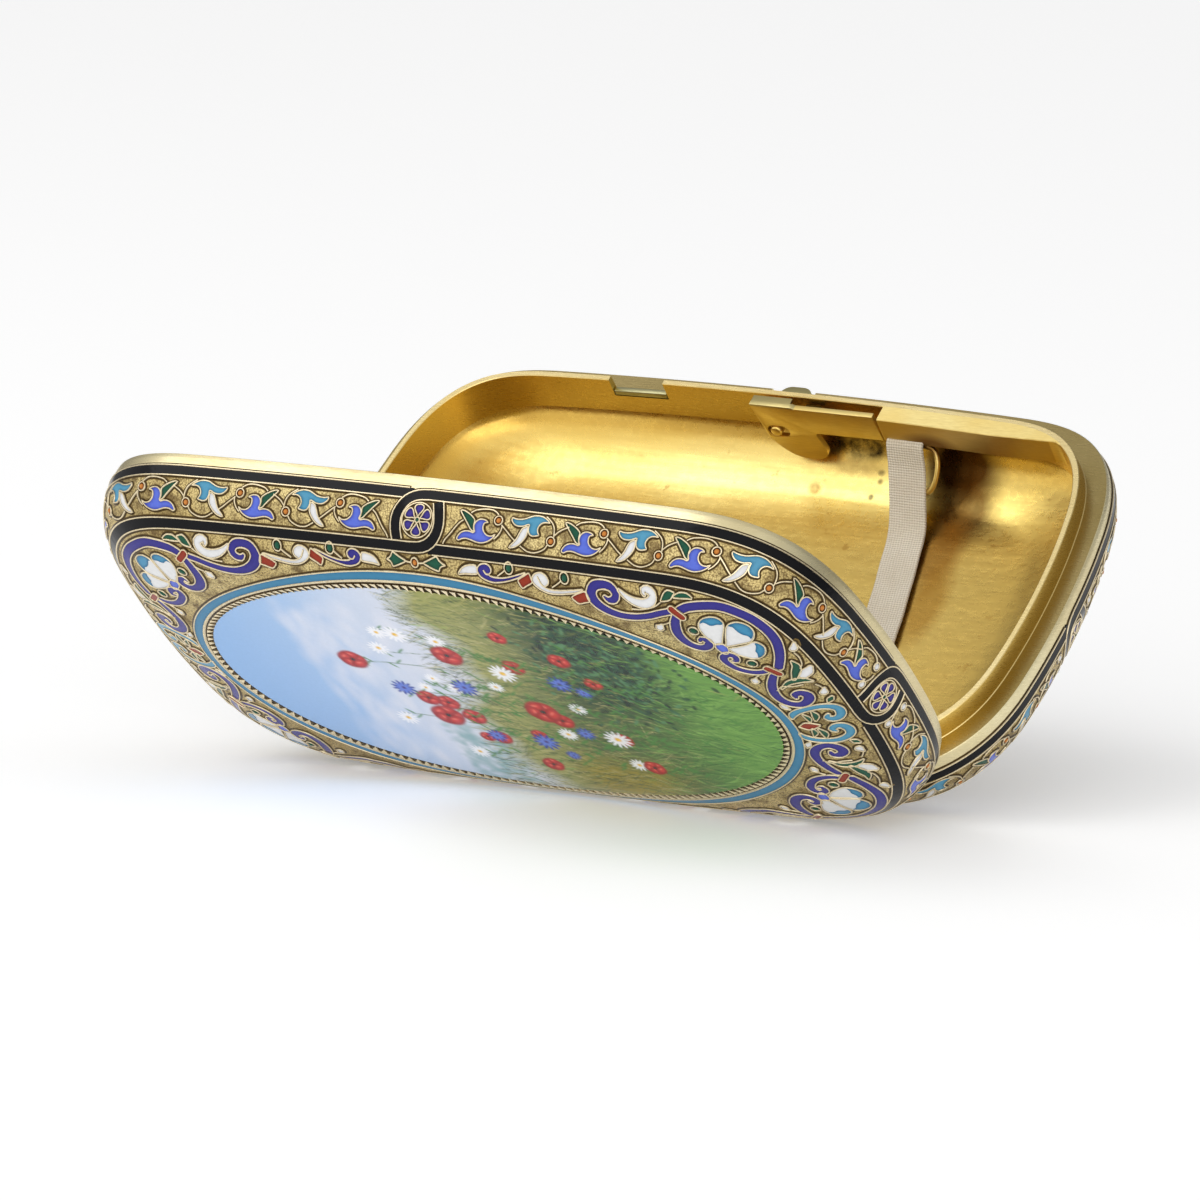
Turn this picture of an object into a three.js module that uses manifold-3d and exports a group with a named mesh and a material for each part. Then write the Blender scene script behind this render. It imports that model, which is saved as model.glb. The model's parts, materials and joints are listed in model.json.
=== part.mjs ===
// Cigarette case of two domed enamelled halves, hinged along one long side and standing open on its spine.
// Millimetres, +Z up. The hinge axis runs along X, the base half leans to +Y and the lid half to -Y.
import * as THREE from "three";
import { mergeVertices } from "three/addons/utils/BufferGeometryUtils.js";
import Module from "manifold-3d";

const wasm = await Module();
wasm.setup();

// Outline of each half, seen square on
const caseLength = 110; // along the hinge
const caseWidth = 64.3; // from the hinge side to the clasp side
const cornerLong = 19.5; // corner reach along the length
const cornerWide = 21.3; // corner reach across the width
const claspCornerPower = 3.5; // superellipse power of the two clasp corners
const hingeCornerPower = 2.9; // superellipse power of the two hinge corners
const longSideBow = 1.5; // fall of the long sides from their middle to the ends
const shortSideBow = 3.9; // fall of the short sides
const openAngle = 99.8; // degrees between the halves when the hinge stops

// Section of a half, depths counted from the rim plane
const rimGap = 0.1; // each rim stays this far from the hinge's plane
const bandDepth = 2.1; // plain rim band
const bandBulge = 0.37; // how far the wall swells out below the rim
const shoulderInset = 3.35;
const shoulderDepth = 9.54;
const crownRise = 2.95; // from the shoulder to the middle of the crown
const crownPower = 6; // how flat the crown is before it falls to the shoulder
const crownFlat = 0.3; // share of the crown that is truly flat
const wallThickness = 1.3;
const crownThickness = 2;
const meshGap = 0.3; // between pieces that touch
const slidingGap = 0.2; // between pieces that slide or swing past each other

// Rim frames
const bandThickness = 1.1;
const ledgeThickness = 0.8;
const baseLedgeWidth = 2.4; // flat ledge outside the standing strip
const stripThickness = 0.9;
const stripHeight = 2.75; // above the rim
const stripFoot = 3.5; // below the rim
const stripStart = 7; // the strip ends this far from the hinge side
const gateLeft = -25.5; // gap in the top of the strip
const gateWidth = 8.3;
const gateDrop = 3.1;
const gateFillTop = 0.65; // the filler in the gap ends this far above the rim

// Hinge
const axisInset = 3.7; // from the hinge-side edge to the hinge axis
const hingeLength = 70;
const knuckleCount = 5;
const knuckleRadius = 1.6;
const knuckleGap = 0.3;
const pinRadius = 0.65;
const pinClearance = 0.08;
const bearerThickness = 0.9;
const hingeSides = 24;

// Latch plate, seen from inside the case, on a guide pin near its left end
const latchInset = 5.2; // inner face of the plate, from the clasp-side edge
const latchThickness = 0.8;
const latchPinX = -0.3;
const latchPinDepth = 2.3;
const latchPinRadius = 0.85;
const latchTravel = 1; // slides left by this to let the lid go
const latchHold = 0.25; // slides right by this under the catch
const plateLeft = -2.9; // left edge at the top
const plateTop = 2.7;
const armRight = 16.2;
const armBottom = 2; // depth of the arm's lower edge
const lobeDepth = 7.6; // depth of the lobe's lowest point
const lobeRight = 6.4;
const tongueWidth = 5;
const tongueThickness = 0.7;
const tongueProud = 1.1; // stands out of the rim by this
const flangeThickness = 0.6; // of the plate's top edge, bent over towards the strip
const noseHeight = 0.8;
const noseTop = 1.9; // above the rim
const noseLength = 2.2;

// Catch in the lid
const catchStemLength = 1.6; // along the rim
const catchFoot = 0.6; // reach of its foot towards the nose
const catchFootHeight = 0.7;
const catchBridge = 1.6; // top of the bridge above the strip
const catchPad = 2; // the soldered pad runs past the stem by this
const catchSlip = 0.06; // the foot passes the nose by this while the latch is at rest

// Clasp block, strap and its bows
const blockLeft = 16.75;
const blockEnd = 12; // from the short side to the block
const blockRight = caseLength / 2 - blockEnd;
const blockFoot = 1.4;
const strapWidth = 5.5;
const strapThickness = 0.7;
const strapClaspX = 20.1;
const strapHingeX = 25;
const strapEnd = 8.3; // from the hinge-side edge to the end of the tape
const strapRise = 4; // the tape turns up over this width
const strapFlat = 12; // and lies flat up to this far from its end
const caseDepth = shoulderDepth + crownRise + rimGap; // of one half, at the middle of its crown
const strapFloor = caseDepth - crownThickness - meshGap - strapThickness / 2;
const strapRoute = [
  // distance from the clasp-side edge, depth
  [7.2, 2.2],
  [8.7, 3.9],
  [10.9, 6.5],
  [13, strapFloor - 1.24],
  [15.4, strapFloor - 0.34],
  [20, strapFloor - 0.14],
  [caseWidth / 2, strapFloor - 0.09],
  [caseWidth - strapEnd - strapFlat, strapFloor - 0.19],
  [caseWidth - strapEnd - strapRise, strapFloor - 1.04],
  [caseWidth - strapEnd, strapFloor - 2.74],
];
const bowWire = 0.9;
const bowReach = 2.2; // how far the staple's bar stands off the wall
const stapleDepth = 6.2;
const ringStandOff = 1.6; // of the ring's bar from the strip
const ringDrop = 6.2; // length of the hanging ring

// Plaque
const plaqueLong = 41; // half lengths of its oval
const plaqueWide = 23.4;
const plaqueThickness = 0.9;
const borderWidth = 1.5;
const borderProud = 0.25;

// Turned shapes and outlines
const cornerSteps = 9;
const straightRun = 40; // the middle of each long side is drawn straight, and the open case stands on it
const shortSideSteps = 3;

const enamel = new THREE.Color(0x6f7f9a);
const paleGilt = new THREE.Color(0xd9c896);
const brightGilt = new THREE.Color(0xd8a83a);
const metal = (color, roughness) => new THREE.MeshStandardMaterial({ color, roughness, metalness: 1 });

const lean = THREE.MathUtils.degToRad(90 - openAngle / 2); // of each rim plane from level

const signedPower = (value, power) => Math.sign(value) * Math.abs(value) ** power;

// One quarter of the outline, from the short side to the long side, before the sides are bowed.
function cornerPoint(angle, power, inset) {
  const longReach = cornerLong - inset;
  const wideReach = cornerWide - inset;
  return [
    caseLength / 2 - cornerLong + longReach * signedPower(Math.cos(angle), 2 / power),
    caseWidth / 2 - cornerWide + wideReach * signedPower(Math.sin(angle), 2 / power),
  ];
}

// The closed outline at an inset from the edge, anticlockwise, as [x, y] with the hinge axis at y = 0.
function outlineAt(inset) {
  const halfLength = caseLength / 2 - inset;
  const halfWidth = caseWidth / 2 - inset;
  const points = [];
  for (const [signX, signY] of [[1, 1], [-1, 1], [-1, -1], [1, -1]]) {
    const power = signY > 0 ? claspCornerPower : hingeCornerPower;
    const rising = signX * signY > 0;
    for (let step = 0; step <= cornerSteps; step++) {
      const share = rising ? step / cornerSteps : 1 - step / cornerSteps;
      const [x, y] = cornerPoint((share * Math.PI) / 2, power, inset);
      points.push([signX * x, signY * y]);
    }
    const [cornerX, cornerY] = points[points.length - 1];
    if (rising) {
      const stop = (Math.sign(cornerX) * straightRun) / 2;
      points.push([stop, cornerY], [-stop, cornerY]);
    } else {
      for (let step = 1; step < shortSideSteps; step++) {
        points.push([cornerX, cornerY * (1 - (2 * step) / shortSideSteps)]);
      }
    }
  }
  return points.map(([x, y]) => [
    x - Math.sign(x) * shortSideBow * (y / halfWidth) ** 2 * Math.min(1, Math.abs(x) / halfLength),
    y - Math.sign(y) * longSideBow * (x / halfLength) ** 2 * Math.min(1, Math.abs(y) / halfWidth) +
      caseWidth / 2 - axisInset,
  ]);
}

// A ring of the outline at an inset, at a height, drawn in towards the middle by a share.
function ringAt(inset, height, share = 1) {
  const middle = caseWidth / 2 - axisInset;
  const drawn = (x, y) => new THREE.Vector3(x * share, middle + (y - middle) * share, height);
  return outlineAt(inset).map(([x, y]) => drawn(x, y));
}

// Faces between rings of equal count; closed joins the last ring to the first, else both ends are capped.
function skin(rings, closed) {
  const count = rings[0].length;
  const positions = rings.flat().flatMap((point) => [point.x, point.y, point.z]);
  const index = [];
  const bands = closed ? rings.length : rings.length - 1;
  for (let band = 0; band < bands; band++) {
    const low = band * count;
    const high = ((band + 1) % rings.length) * count;
    for (let i = 0; i < count; i++) {
      const j = (i + 1) % count;
      index.push(low + i, low + j, high + j, low + i, high + j, high + i);
    }
  }
  if (!closed) {
    for (const [ring, flip] of [[0, true], [rings.length - 1, false]]) {
      const centre = positions.length / 3;
      const sum = new THREE.Vector3();
      rings[ring].forEach((point) => sum.add(point));
      sum.divideScalar(count);
      positions.push(sum.x, sum.y, sum.z);
      for (let i = 0; i < count; i++) {
        const a = ring * count + i;
        const b = ring * count + ((i + 1) % count);
        index.push(...(flip ? [centre, b, a] : [centre, a, b]));
      }
    }
  }
  const geometry = new THREE.BufferGeometry();
  geometry.setAttribute("position", new THREE.Float32BufferAttribute(positions, 3));
  geometry.setIndex(index);
  return geometry;
}

// Solids for joining and cutting
function solid(geometry) {
  const bare = geometry.clone();
  bare.deleteAttribute("normal");
  bare.deleteAttribute("uv");
  const merged = mergeVertices(bare, 1e-4);
  const vertProperties = new Float32Array(merged.attributes.position.array);
  const triVerts = new Uint32Array(merged.index.array);
  const made = new wasm.Manifold(new wasm.Mesh({ numProp: 3, vertProperties, triVerts }));
  if (made.volume() > 0) return made;
  const turned = new Uint32Array(merged.index.array);
  for (let i = 0; i < turned.length; i += 3) {
    [turned[i + 1], turned[i + 2]] = [turned[i + 2], turned[i + 1]];
  }
  return new wasm.Manifold(new wasm.Mesh({ numProp: 3, vertProperties, triVerts: turned }));
}

function geometryOf(made) {
  const mesh = made.getMesh();
  const geometry = new THREE.BufferGeometry();
  geometry.setAttribute("position", new THREE.Float32BufferAttribute(mesh.vertProperties, 3));
  geometry.setIndex(new THREE.BufferAttribute(mesh.triVerts, 1));
  const flat = geometry.toNonIndexed();
  flat.computeVertexNormals();
  return flat;
}

// A box between two corners.
function block(low, high) {
  const size = high.map((value, i) => value - low[i]);
  const geometry = new THREE.BoxGeometry(...size);
  geometry.translate(...low.map((value, i) => value + size[i] / 2));
  return solid(geometry);
}

// A rod along X between two places.
function rodX(radius, from, to, sides = hingeSides) {
  const geometry = new THREE.CylinderGeometry(radius, radius, to - from, sides);
  geometry.rotateZ(Math.PI / 2);
  geometry.translate((from + to) / 2, 0, 0);
  return solid(geometry);
}

// A flat plate drawn in X and Z, between two places along Y.
function plate(shape, fromY, toY, curveSegments = 6) {
  const depth = toY - fromY;
  const geometry = new THREE.ExtrudeGeometry(shape, { depth, bevelEnabled: false, curveSegments });
  geometry.rotateX(Math.PI / 2);
  geometry.translate(0, toY, 0);
  return solid(geometry);
}

// Depth of the outer surface for a share of the crown, 1 at the shoulder and 0 in the middle.
function crownDepth(share) {
  const flatShare = Math.max(0, (share - crownFlat) / (1 - crownFlat));
  return shoulderDepth + crownRise * (1 - flatShare ** crownPower);
}

// The side wall from the rim to the shoulder, as insets and depths on a smooth curve.
function wallProfile() {
  const curve = new THREE.SplineCurve([
    new THREE.Vector2(0, 0),
    new THREE.Vector2(-bandBulge, bandDepth + 0.3),
    new THREE.Vector2(0.15, shoulderDepth * 0.55),
    new THREE.Vector2(1.45, shoulderDepth * 0.82),
    new THREE.Vector2(shoulderInset, shoulderDepth),
  ]);
  return curve;
}

const crownShares = [0.955, 0.9, 0.83, 0.73, 0.55, crownFlat];

// Rings of the outer surface below a depth, from the rim side to the flat of the crown, pushed in.
function cupRings(fromDepth, wall, crown) {
  const rings = [];
  const curve = wallProfile();
  const steps = 8;
  let start = 0;
  while (curve.getPoint(start).y < fromDepth) start += 0.002;
  for (let step = 0; step <= steps; step++) {
    const at = start + ((1 - start) * step) / steps;
    const point = curve.getPoint(at);
    const tangent = curve.getTangent(at);
    const lift = wall * -tangent.x;
    const reach = THREE.MathUtils.lerp(wall, crown, step / steps);
    rings.push(ringAt(point.x + reach * tangent.y, -(point.y + lift * (reach / Math.max(wall, 1e-6)))));
  }
  for (const share of crownShares) rings.push(ringAt(shoulderInset, -(crownDepth(share) - crown), share));
  return rings;
}

// The space outside the half's own side of the spine, where the other half lies when the case is open.
function spineCutter() {
  const reach = 40;
  const geometry = new THREE.BoxGeometry(caseLength * 2, reach, reach * 2);
  geometry.translate(0, -reach / 2 + meshGap / 2, 0);
  geometry.rotateX(-lean);
  return solid(geometry);
}

const shellTop = bandDepth + rimGap + meshGap;

// The closed form of a half's outside, from just under the rim band down to the crown.
const outerForm = solid(skin(cupRings(shellTop - rimGap, 0, 0), false)).translate([0, 0, -rimGap]);

// A domed cup with its hinge side cut back to clear the hinge and the other half.
function shellSolid() {
  const innerRings = cupRings(shellTop - rimGap, wallThickness, crownThickness);
  const mouth = ringAt(wallThickness - bandBulge, 1);
  const inside = solid(skin([mouth, ...innerRings], false)).translate([0, 0, -rimGap]);
  return outerForm.subtract(inside).subtract(spineCutter()).subtract(hingeRoom());
}

// A ring swept round the outline from a section of [inset, height] corners.
function sweptFrame(section) {
  return solid(skin(section.map(([inset, height]) => ringAt(inset, height)), true));
}

// Room for the hinge and its bearer.
function hingeRoom() {
  const radius = knuckleRadius + slidingGap + bearerThickness + meshGap;
  return rodX(radius, -hingeLength / 2 - meshGap, hingeLength / 2 + meshGap);
}

// Rim band and ledge of a half; the inner corners of the section differ between base and lid.
function frameSolid(innerCorners) {
  const section = [
    [0, -rimGap],
    [-bandBulge * 0.8, -rimGap - bandDepth],
    [bandThickness, -rimGap - bandDepth],
    [bandThickness, -rimGap - ledgeThickness],
    ...innerCorners,
  ];
  return sweptFrame(section).subtract(spineCutter()).subtract(hingeRoom());
}

const straightFall = longSideBow * (straightRun / caseLength) ** 2;
const claspEdge = caseWidth - axisInset - straightFall; // y of the clasp-side edge along its straight run
const stripOuter = baseLedgeWidth;
const stripInner = baseLedgeWidth + stripThickness;

function baseFrameSolid() {
  let frame = frameSolid([
    [stripOuter, -rimGap - ledgeThickness],
    [stripOuter, -stripFoot],
    [stripInner, -stripFoot],
    [stripInner, stripHeight],
    [stripOuter + 0.1, stripHeight],
    [stripOuter, -rimGap],
  ]);
  const stripEnd = stripStart - axisInset;
  frame = frame.subtract(block([-caseLength, -caseWidth, -rimGap], [caseLength, stripEnd, stripHeight + 1]));
  frame = frame.subtract(alongStrip([stripOuter - meshGap / 2, stripInner + meshGap],
    [stripHeight - gateDrop, stripHeight + 1], [gateLeft, gateLeft + gateWidth]));
  const tongueRoom = block(
    [tongueLeft - latchTravel - slidingGap, claspEdge - 6, tongueBottom - slidingGap],
    [tongueLeft + tongueWidth + latchHold + slidingGap, claspEdge + 4, tongueTop + slidingGap]);
  const pinHole = latchPinRod(latchPinRadius + pinClearance, claspEdge - 8, claspEdge);
  return frame.subtract(tongueRoom).subtract(pinHole);
}

function lidFrameSolid() {
  const inner = baseLedgeWidth - meshGap;
  return frameSolid([[inner, -rimGap - ledgeThickness], [inner, -rimGap]]);
}

// Quarter-round gutter that holds a half's knuckles, from its rim plane down to the spine.
function bearerSolid() {
  const inner = knuckleRadius + slidingGap;
  const outer = inner + bearerThickness;
  const hollow = rodX(inner, -hingeLength, hingeLength);
  const ring = rodX(outer, -hingeLength / 2, hingeLength / 2).subtract(hollow);
  const aboveRim = block([-hingeLength, -outer * 2, -rimGap], [hingeLength, outer * 2, outer * 2]);
  return ring.subtract(aboveRim).subtract(spineCutter());
}

const knucklePitch = hingeLength / knuckleCount;

function knuckleSolid(place) {
  const from = -hingeLength / 2 + place * knucklePitch + knuckleGap / 2;
  const to = from + knucklePitch - knuckleGap;
  return rodX(knuckleRadius, from, to).subtract(rodX(pinRadius + pinClearance, from - 1, to + 1));
}

// Latch
const latchInnerY = claspEdge - latchInset;
const latchOuterY = latchInnerY + latchThickness;
const tongueTop = -rimGap - 0.1;
const tongueBottom = tongueTop - tongueThickness;
const tongueLeft = latchPinX - 1.1;
const noseLeft = tongueLeft + tongueWidth + 1.4;

function latchPinRod(radius, fromY, toY) {
  const geometry = new THREE.CylinderGeometry(radius, radius, toY - fromY, 16);
  geometry.translate(latchPinX, (fromY + toY) / 2, -latchPinDepth);
  return solid(geometry);
}

function latchSolid() {
  const outline = new THREE.Shape();
  const tabRight = tongueLeft + tongueWidth;
  outline.moveTo(plateLeft, plateTop);
  outline.lineTo(plateLeft + 1.1, -latchPinDepth - 1);
  outline.quadraticCurveTo(plateLeft + 1.5, -latchPinDepth - 2.6, latchPinX + 1, -lobeDepth + 1);
  outline.quadraticCurveTo(latchPinX + 2.6, -lobeDepth, lobeRight - 1.8, -lobeDepth + 0.35);
  outline.quadraticCurveTo(lobeRight + 0.2, -lobeDepth + 0.7, lobeRight, -lobeDepth + 2.4);
  outline.lineTo(lobeRight - 0.6, -armBottom - 0.5);
  outline.quadraticCurveTo(lobeRight - 0.6, -armBottom, lobeRight, -armBottom);
  outline.lineTo(armRight, -armBottom);
  outline.lineTo(armRight - 0.35, plateTop - 0.2);
  outline.lineTo(tabRight + 0.2, plateTop - 0.2);
  outline.quadraticCurveTo(tabRight, plateTop, tabRight - 0.5, plateTop);
  outline.closePath();
  const slotHole = new THREE.Path();
  const slotRadius = latchPinRadius + slidingGap;
  const slotFrom = latchPinX - latchHold;
  const slotTo = latchPinX + latchTravel;
  slotHole.absarc(slotTo, -latchPinDepth, slotRadius, -Math.PI / 2, Math.PI / 2, false);
  slotHole.absarc(slotFrom, -latchPinDepth, slotRadius, Math.PI / 2, (Math.PI * 3) / 2, false);
  outline.holes.push(slotHole);
  const latchPlate = plate(outline, latchInnerY, latchOuterY);
  const tongueShape = new THREE.Shape();
  const tip = claspEdge + tongueProud;
  const round = tongueWidth * 0.35;
  tongueShape.moveTo(tongueLeft, latchInnerY + 0.1);
  tongueShape.lineTo(tabRight, latchInnerY + 0.1);
  tongueShape.lineTo(tabRight, tip - round);
  tongueShape.absarc(tabRight - round, tip - round, round, 0, Math.PI / 2, false);
  tongueShape.lineTo(tongueLeft + round, tip);
  tongueShape.absarc(tongueLeft + round, tip - round, round, Math.PI / 2, Math.PI, false);
  tongueShape.closePath();
  const tongueGeometry = new THREE.ExtrudeGeometry(tongueShape,
    { depth: tongueThickness, bevelEnabled: false, curveSegments: 5 });
  tongueGeometry.translate(0, 0, tongueBottom);
  const nose = block([noseLeft, latchOuterY - 0.1, noseTop - noseHeight],
    [noseLeft + noseLength, claspEdge - stripInner - slidingGap, noseTop]);
  const springLug = block([springRight, latchOuterY - 0.1, -springDepth - springTall / 2],
    [springRight + 0.8, claspEdge - stripInner - slidingGap, -springDepth + springTall / 2]);
  const flange = block([plateLeft + 0.05, latchOuterY - 0.1, plateTop - flangeThickness],
    [tabRight - 0.5, claspEdge - stripInner - slidingGap, plateTop]);
  return latchPlate.add(solid(tongueGeometry)).add(nose).add(springLug).add(flange);
}

const springDepth = 2.8; // depth of the lug that the spring bears on
const springTall = 0.7;
const springWire = 0.45;
const springLeft = latchPinX + latchPinRadius + meshGap;
const springRight = lobeRight - 2.2;

// Hairpin of round wire between the guide pin and the lug on the back of the plate.
function springSolid() {
  const y = (latchOuterY + claspEdge - stripInner) / 2;
  const left = springLeft + springWire / 2;
  const right = springRight - meshGap - springWire / 2;
  const top = -springDepth + springTall / 2;
  const bottom = -lobeDepth + 1.6;
  const path = new THREE.CatmullRomCurve3([
    new THREE.Vector3(left, y, top),
    new THREE.Vector3(left + 0.1, y, (top + bottom) / 2),
    new THREE.Vector3((left + right) / 2 - 0.45, y, bottom + 0.35),
    new THREE.Vector3((left + right) / 2, y, bottom),
    new THREE.Vector3((left + right) / 2 + 0.45, y, bottom + 0.35),
    new THREE.Vector3(right - 0.1, y, (top + bottom) / 2),
    new THREE.Vector3(right, y, top),
  ]);
  const section = new THREE.Shape();
  section.absarc(0, 0, springWire / 2, 0, Math.PI * 2, false);
  return solid(new THREE.ExtrudeGeometry(section, { steps: 18, curveSegments: 4, extrudePath: path }));
}

// How far inside the edge a wall's inner face lies at a depth; the wall thickens towards the crown.
function wallInset(depth) {
  const curve = wallProfile();
  let at = 0;
  while (curve.getPoint(at).y < depth) at += 0.002;
  return curve.getPoint(at).x + (wallThickness + crownThickness) / 2;
}

// Fall of the long sides at a place along the hinge, from their straight run.
const fallAt = (x) => longSideBow * (x / (caseLength / 2 - wallThickness)) ** 2 - straightFall;

// Hook on the lid's wall, drawn where it lies in the closed case and then carried into the lid's frame.
function catchSolid() {
  const footLeft = noseLeft + noseLength + catchSlip;
  const footTop = noseTop - noseHeight - catchSlip * 2;
  const stemLeft = footLeft + catchFoot;
  const stemRight = stemLeft + catchStemLength;
  const innerFace = latchOuterY + slidingGap;
  const outerFace = claspEdge - stripInner - slidingGap;
  const bridgeFoot = stripHeight + slidingGap;
  const top = stripHeight + catchBridge;
  const wallFace = claspEdge - wallInset(top) - fallAt(stemRight + catchPad) - meshGap;
  const stem = block([stemLeft, innerFace, footTop - catchFootHeight], [stemRight, outerFace, top]);
  const foot = block([footLeft, innerFace, footTop - catchFootHeight], [stemRight, outerFace, footTop]);
  const bridge = block([stemLeft, innerFace, bridgeFoot], [stemRight, wallFace, top]);
  const padLow = [stemLeft - catchPad, wallFace - catchFootHeight, bridgeFoot];
  const pad = block(padLow, [stemRight + catchPad, wallFace, top]);
  return stem.add(foot).add(bridge).add(pad);
}

// Length of bar that follows the strip, between two insets, heights and places along it.
function alongStrip([outer, inner], [foot, top], [left, right]) {
  const ring = sweptFrame([[outer, foot], [inner, foot], [inner, top], [outer, top]]);
  const depthReach = caseDepth * 2;
  return ring.intersect(block([left, caseWidth / 2, -depthReach], [right, caseWidth * 2, depthReach]));
}

// Bar beside the latch arm.
const clampBlockSolid = () => alongStrip([stripInner + meshGap / 2, latchInset], [-blockFoot, stripHeight],
  [blockLeft, blockRight]);

// Filler that stands in the gap of the strip.
const gateSolid = () => alongStrip([stripOuter + meshGap / 2, stripInner],
  [stripHeight - gateDrop + meshGap / 2, gateFillTop], [gateLeft + meshGap / 2, gateLeft + gateWidth - meshGap / 2]);

// Tape across the inside: its route bends from the clasp bow down to the crown and up to the hinge bow.
function strapSolid() {
  const [nearEnd] = strapRoute[0];
  const [farEnd] = strapRoute[strapRoute.length - 1];
  const points = strapRoute.map(([fromClasp, depth]) => {
    const share = (fromClasp - nearEnd) / (farEnd - nearEnd);
    const x = THREE.MathUtils.lerp(strapClaspX, strapHingeX, share);
    return new THREE.Vector3(x, claspEdge - fromClasp, -depth);
  });
  const curve = new THREE.CatmullRomCurve3(points, false, "centripetal");
  const steps = 28;
  const rings = [];
  const across = new THREE.Vector3(1, 0, 0);
  for (let step = 0; step <= steps; step++) {
    const point = curve.getPoint(step / steps);
    const along = curve.getTangent(step / steps);
    const side = across.clone().addScaledVector(along, -along.x).normalize();
    const up = new THREE.Vector3().crossVectors(side, along).normalize();
    side.multiplyScalar(strapWidth / 2);
    up.multiplyScalar(strapThickness / 2);
    const corner = (a, b) => point.clone().addScaledVector(side, a).addScaledVector(up, b);
    rings.push([corner(-1, -1), corner(1, -1), corner(1, 1), corner(-1, 1)]);
  }
  return solid(skin(rings, false));
}

function wireAlong(path, steps) {
  const section = new THREE.Shape();
  section.absarc(0, 0, bowWire / 2, 0, Math.PI * 2, false);
  return solid(new THREE.ExtrudeGeometry(section, { steps, curveSegments: 4, extrudePath: path }));
}

const bowHalf = strapWidth / 2 + bowWire / 2 + 0.6;

// Wire staple whose two legs stand on the hinge-side wall and whose bar carries the end of the tape.
function stapleSolid() {
  const fall = fallAt(strapHingeX + bowHalf + bowWire / 2);
  const wallY = wallInset(stapleDepth + bowWire / 2) + straightFall + fall - axisInset + meshGap;
  const corner = bowWire * 0.8;
  const barY = wallY + bowReach;
  const at = (x, y) => new THREE.Vector3(strapHingeX + x, y, -stapleDepth);
  const line = (from, to) => new THREE.LineCurve3(at(...from), at(...to));
  const bend = (from, by, to) => new THREE.QuadraticBezierCurve3(at(...from), at(...by), at(...to));
  const path = new THREE.CurvePath();
  path.add(line([-bowHalf, wallY], [-bowHalf, barY - corner]));
  path.add(bend([-bowHalf, barY - corner], [-bowHalf, barY], [corner - bowHalf, barY]));
  path.add(line([corner - bowHalf, barY], [bowHalf - corner, barY]));
  path.add(bend([bowHalf - corner, barY], [bowHalf, barY], [bowHalf, barY - corner]));
  path.add(line([bowHalf, barY - corner], [bowHalf, wallY]));
  return wireAlong(path, 30);
}

// Closed wire ring under the clasp block: its top bar carries the tape, and its bow hangs behind the tape.
function ringSolid() {
  const barY = claspEdge - stripInner - meshGap - bowWire / 2 - ringStandOff;
  const barZ = -(blockFoot + meshGap + bowWire / 2);
  const fallY = ringDrop * Math.sin(lean);
  const fallZ = ringDrop * Math.cos(lean);
  const down = (share) => [barY - fallY * share, barZ - fallZ * share];
  const right = [[0.8, 0], [1, 0.18], [1, 0.55], [0.72, 0.9]];
  const left = right.map(([across, share]) => [-across, share]).reverse();
  const points = [...right, [0, 1], ...left];
  const path = new THREE.CatmullRomCurve3(points.map(([across, share]) => {
    const [y, z] = down(share);
    return new THREE.Vector3(strapClaspX + across * bowHalf, y, z);
  }), true, "centripetal");
  return wireAlong(path, 36);
}

// An upright oval prism over the middle of the crown.
function ovalPrism(long, wide) {
  const shape = new THREE.Shape();
  shape.absellipse(0, 0, long, wide, 0, Math.PI * 2, false, 0);
  const depth = caseDepth * 2;
  const geometry = new THREE.ExtrudeGeometry(shape, { depth, bevelEnabled: false, curveSegments: 32 });
  geometry.translate(0, caseWidth / 2 - axisInset, -depth);
  return solid(geometry);
}

const borderLong = plaqueLong + meshGap + borderWidth;
const borderWide = plaqueWide + meshGap + borderWidth;

function plaqueSolid() {
  return outerForm.intersect(ovalPrism(plaqueLong, plaqueWide))
    .subtract(outerForm.translate([0, 0, plaqueThickness]));
}

function borderSolid() {
  const middle = ovalPrism(plaqueLong + meshGap, plaqueWide + meshGap);
  const ring = ovalPrism(borderLong, borderWide).subtract(middle);
  return outerForm.translate([0, 0, -borderProud]).intersect(ring)
    .subtract(outerForm.translate([0, 0, plaqueThickness]));
}

function plaqueSeat() {
  return ovalPrism(borderLong + meshGap, borderWide + meshGap)
    .subtract(outerForm.translate([0, 0, plaqueThickness + meshGap]));
}

// Naming and placing
function named(name, made, material) {
  const mesh = new THREE.Mesh(geometryOf(made), material);
  mesh.name = name;
  return mesh;
}

const base = new THREE.Group();
base.rotation.x = lean;
const lid = new THREE.Group();
lid.rotation.set(-lean, 0, Math.PI, "XYZ");

base.add(named("base_shell", shellSolid(), metal(enamel, 0.35)));
base.add(named("base_frame", baseFrameSolid(), metal(paleGilt, 0.3)));
base.add(named("base_hinge_bearer", bearerSolid(), metal(paleGilt, 0.35)));
lid.add(named("lid_shell", shellSolid().subtract(plaqueSeat()), metal(enamel, 0.35)));
lid.add(named("lid_frame", lidFrameSolid(), metal(paleGilt, 0.3)));
lid.add(named("lid_hinge_bearer", bearerSolid(), metal(paleGilt, 0.35)));

for (let place = 0; place < knuckleCount; place++) {
  const half = place % 2 ? lid : base;
  const label = (place % 2 ? "lid_knuckle_" : "base_knuckle_") + (Math.floor(place / 2) + 1);
  half.add(named(label, knuckleSolid(place), metal(paleGilt, 0.3)));
}
const pinHalf = hingeLength / 2 - slidingGap;
base.add(named("hinge_pin", rodX(pinRadius, -pinHalf, pinHalf), metal(brightGilt, 0.3)));

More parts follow.
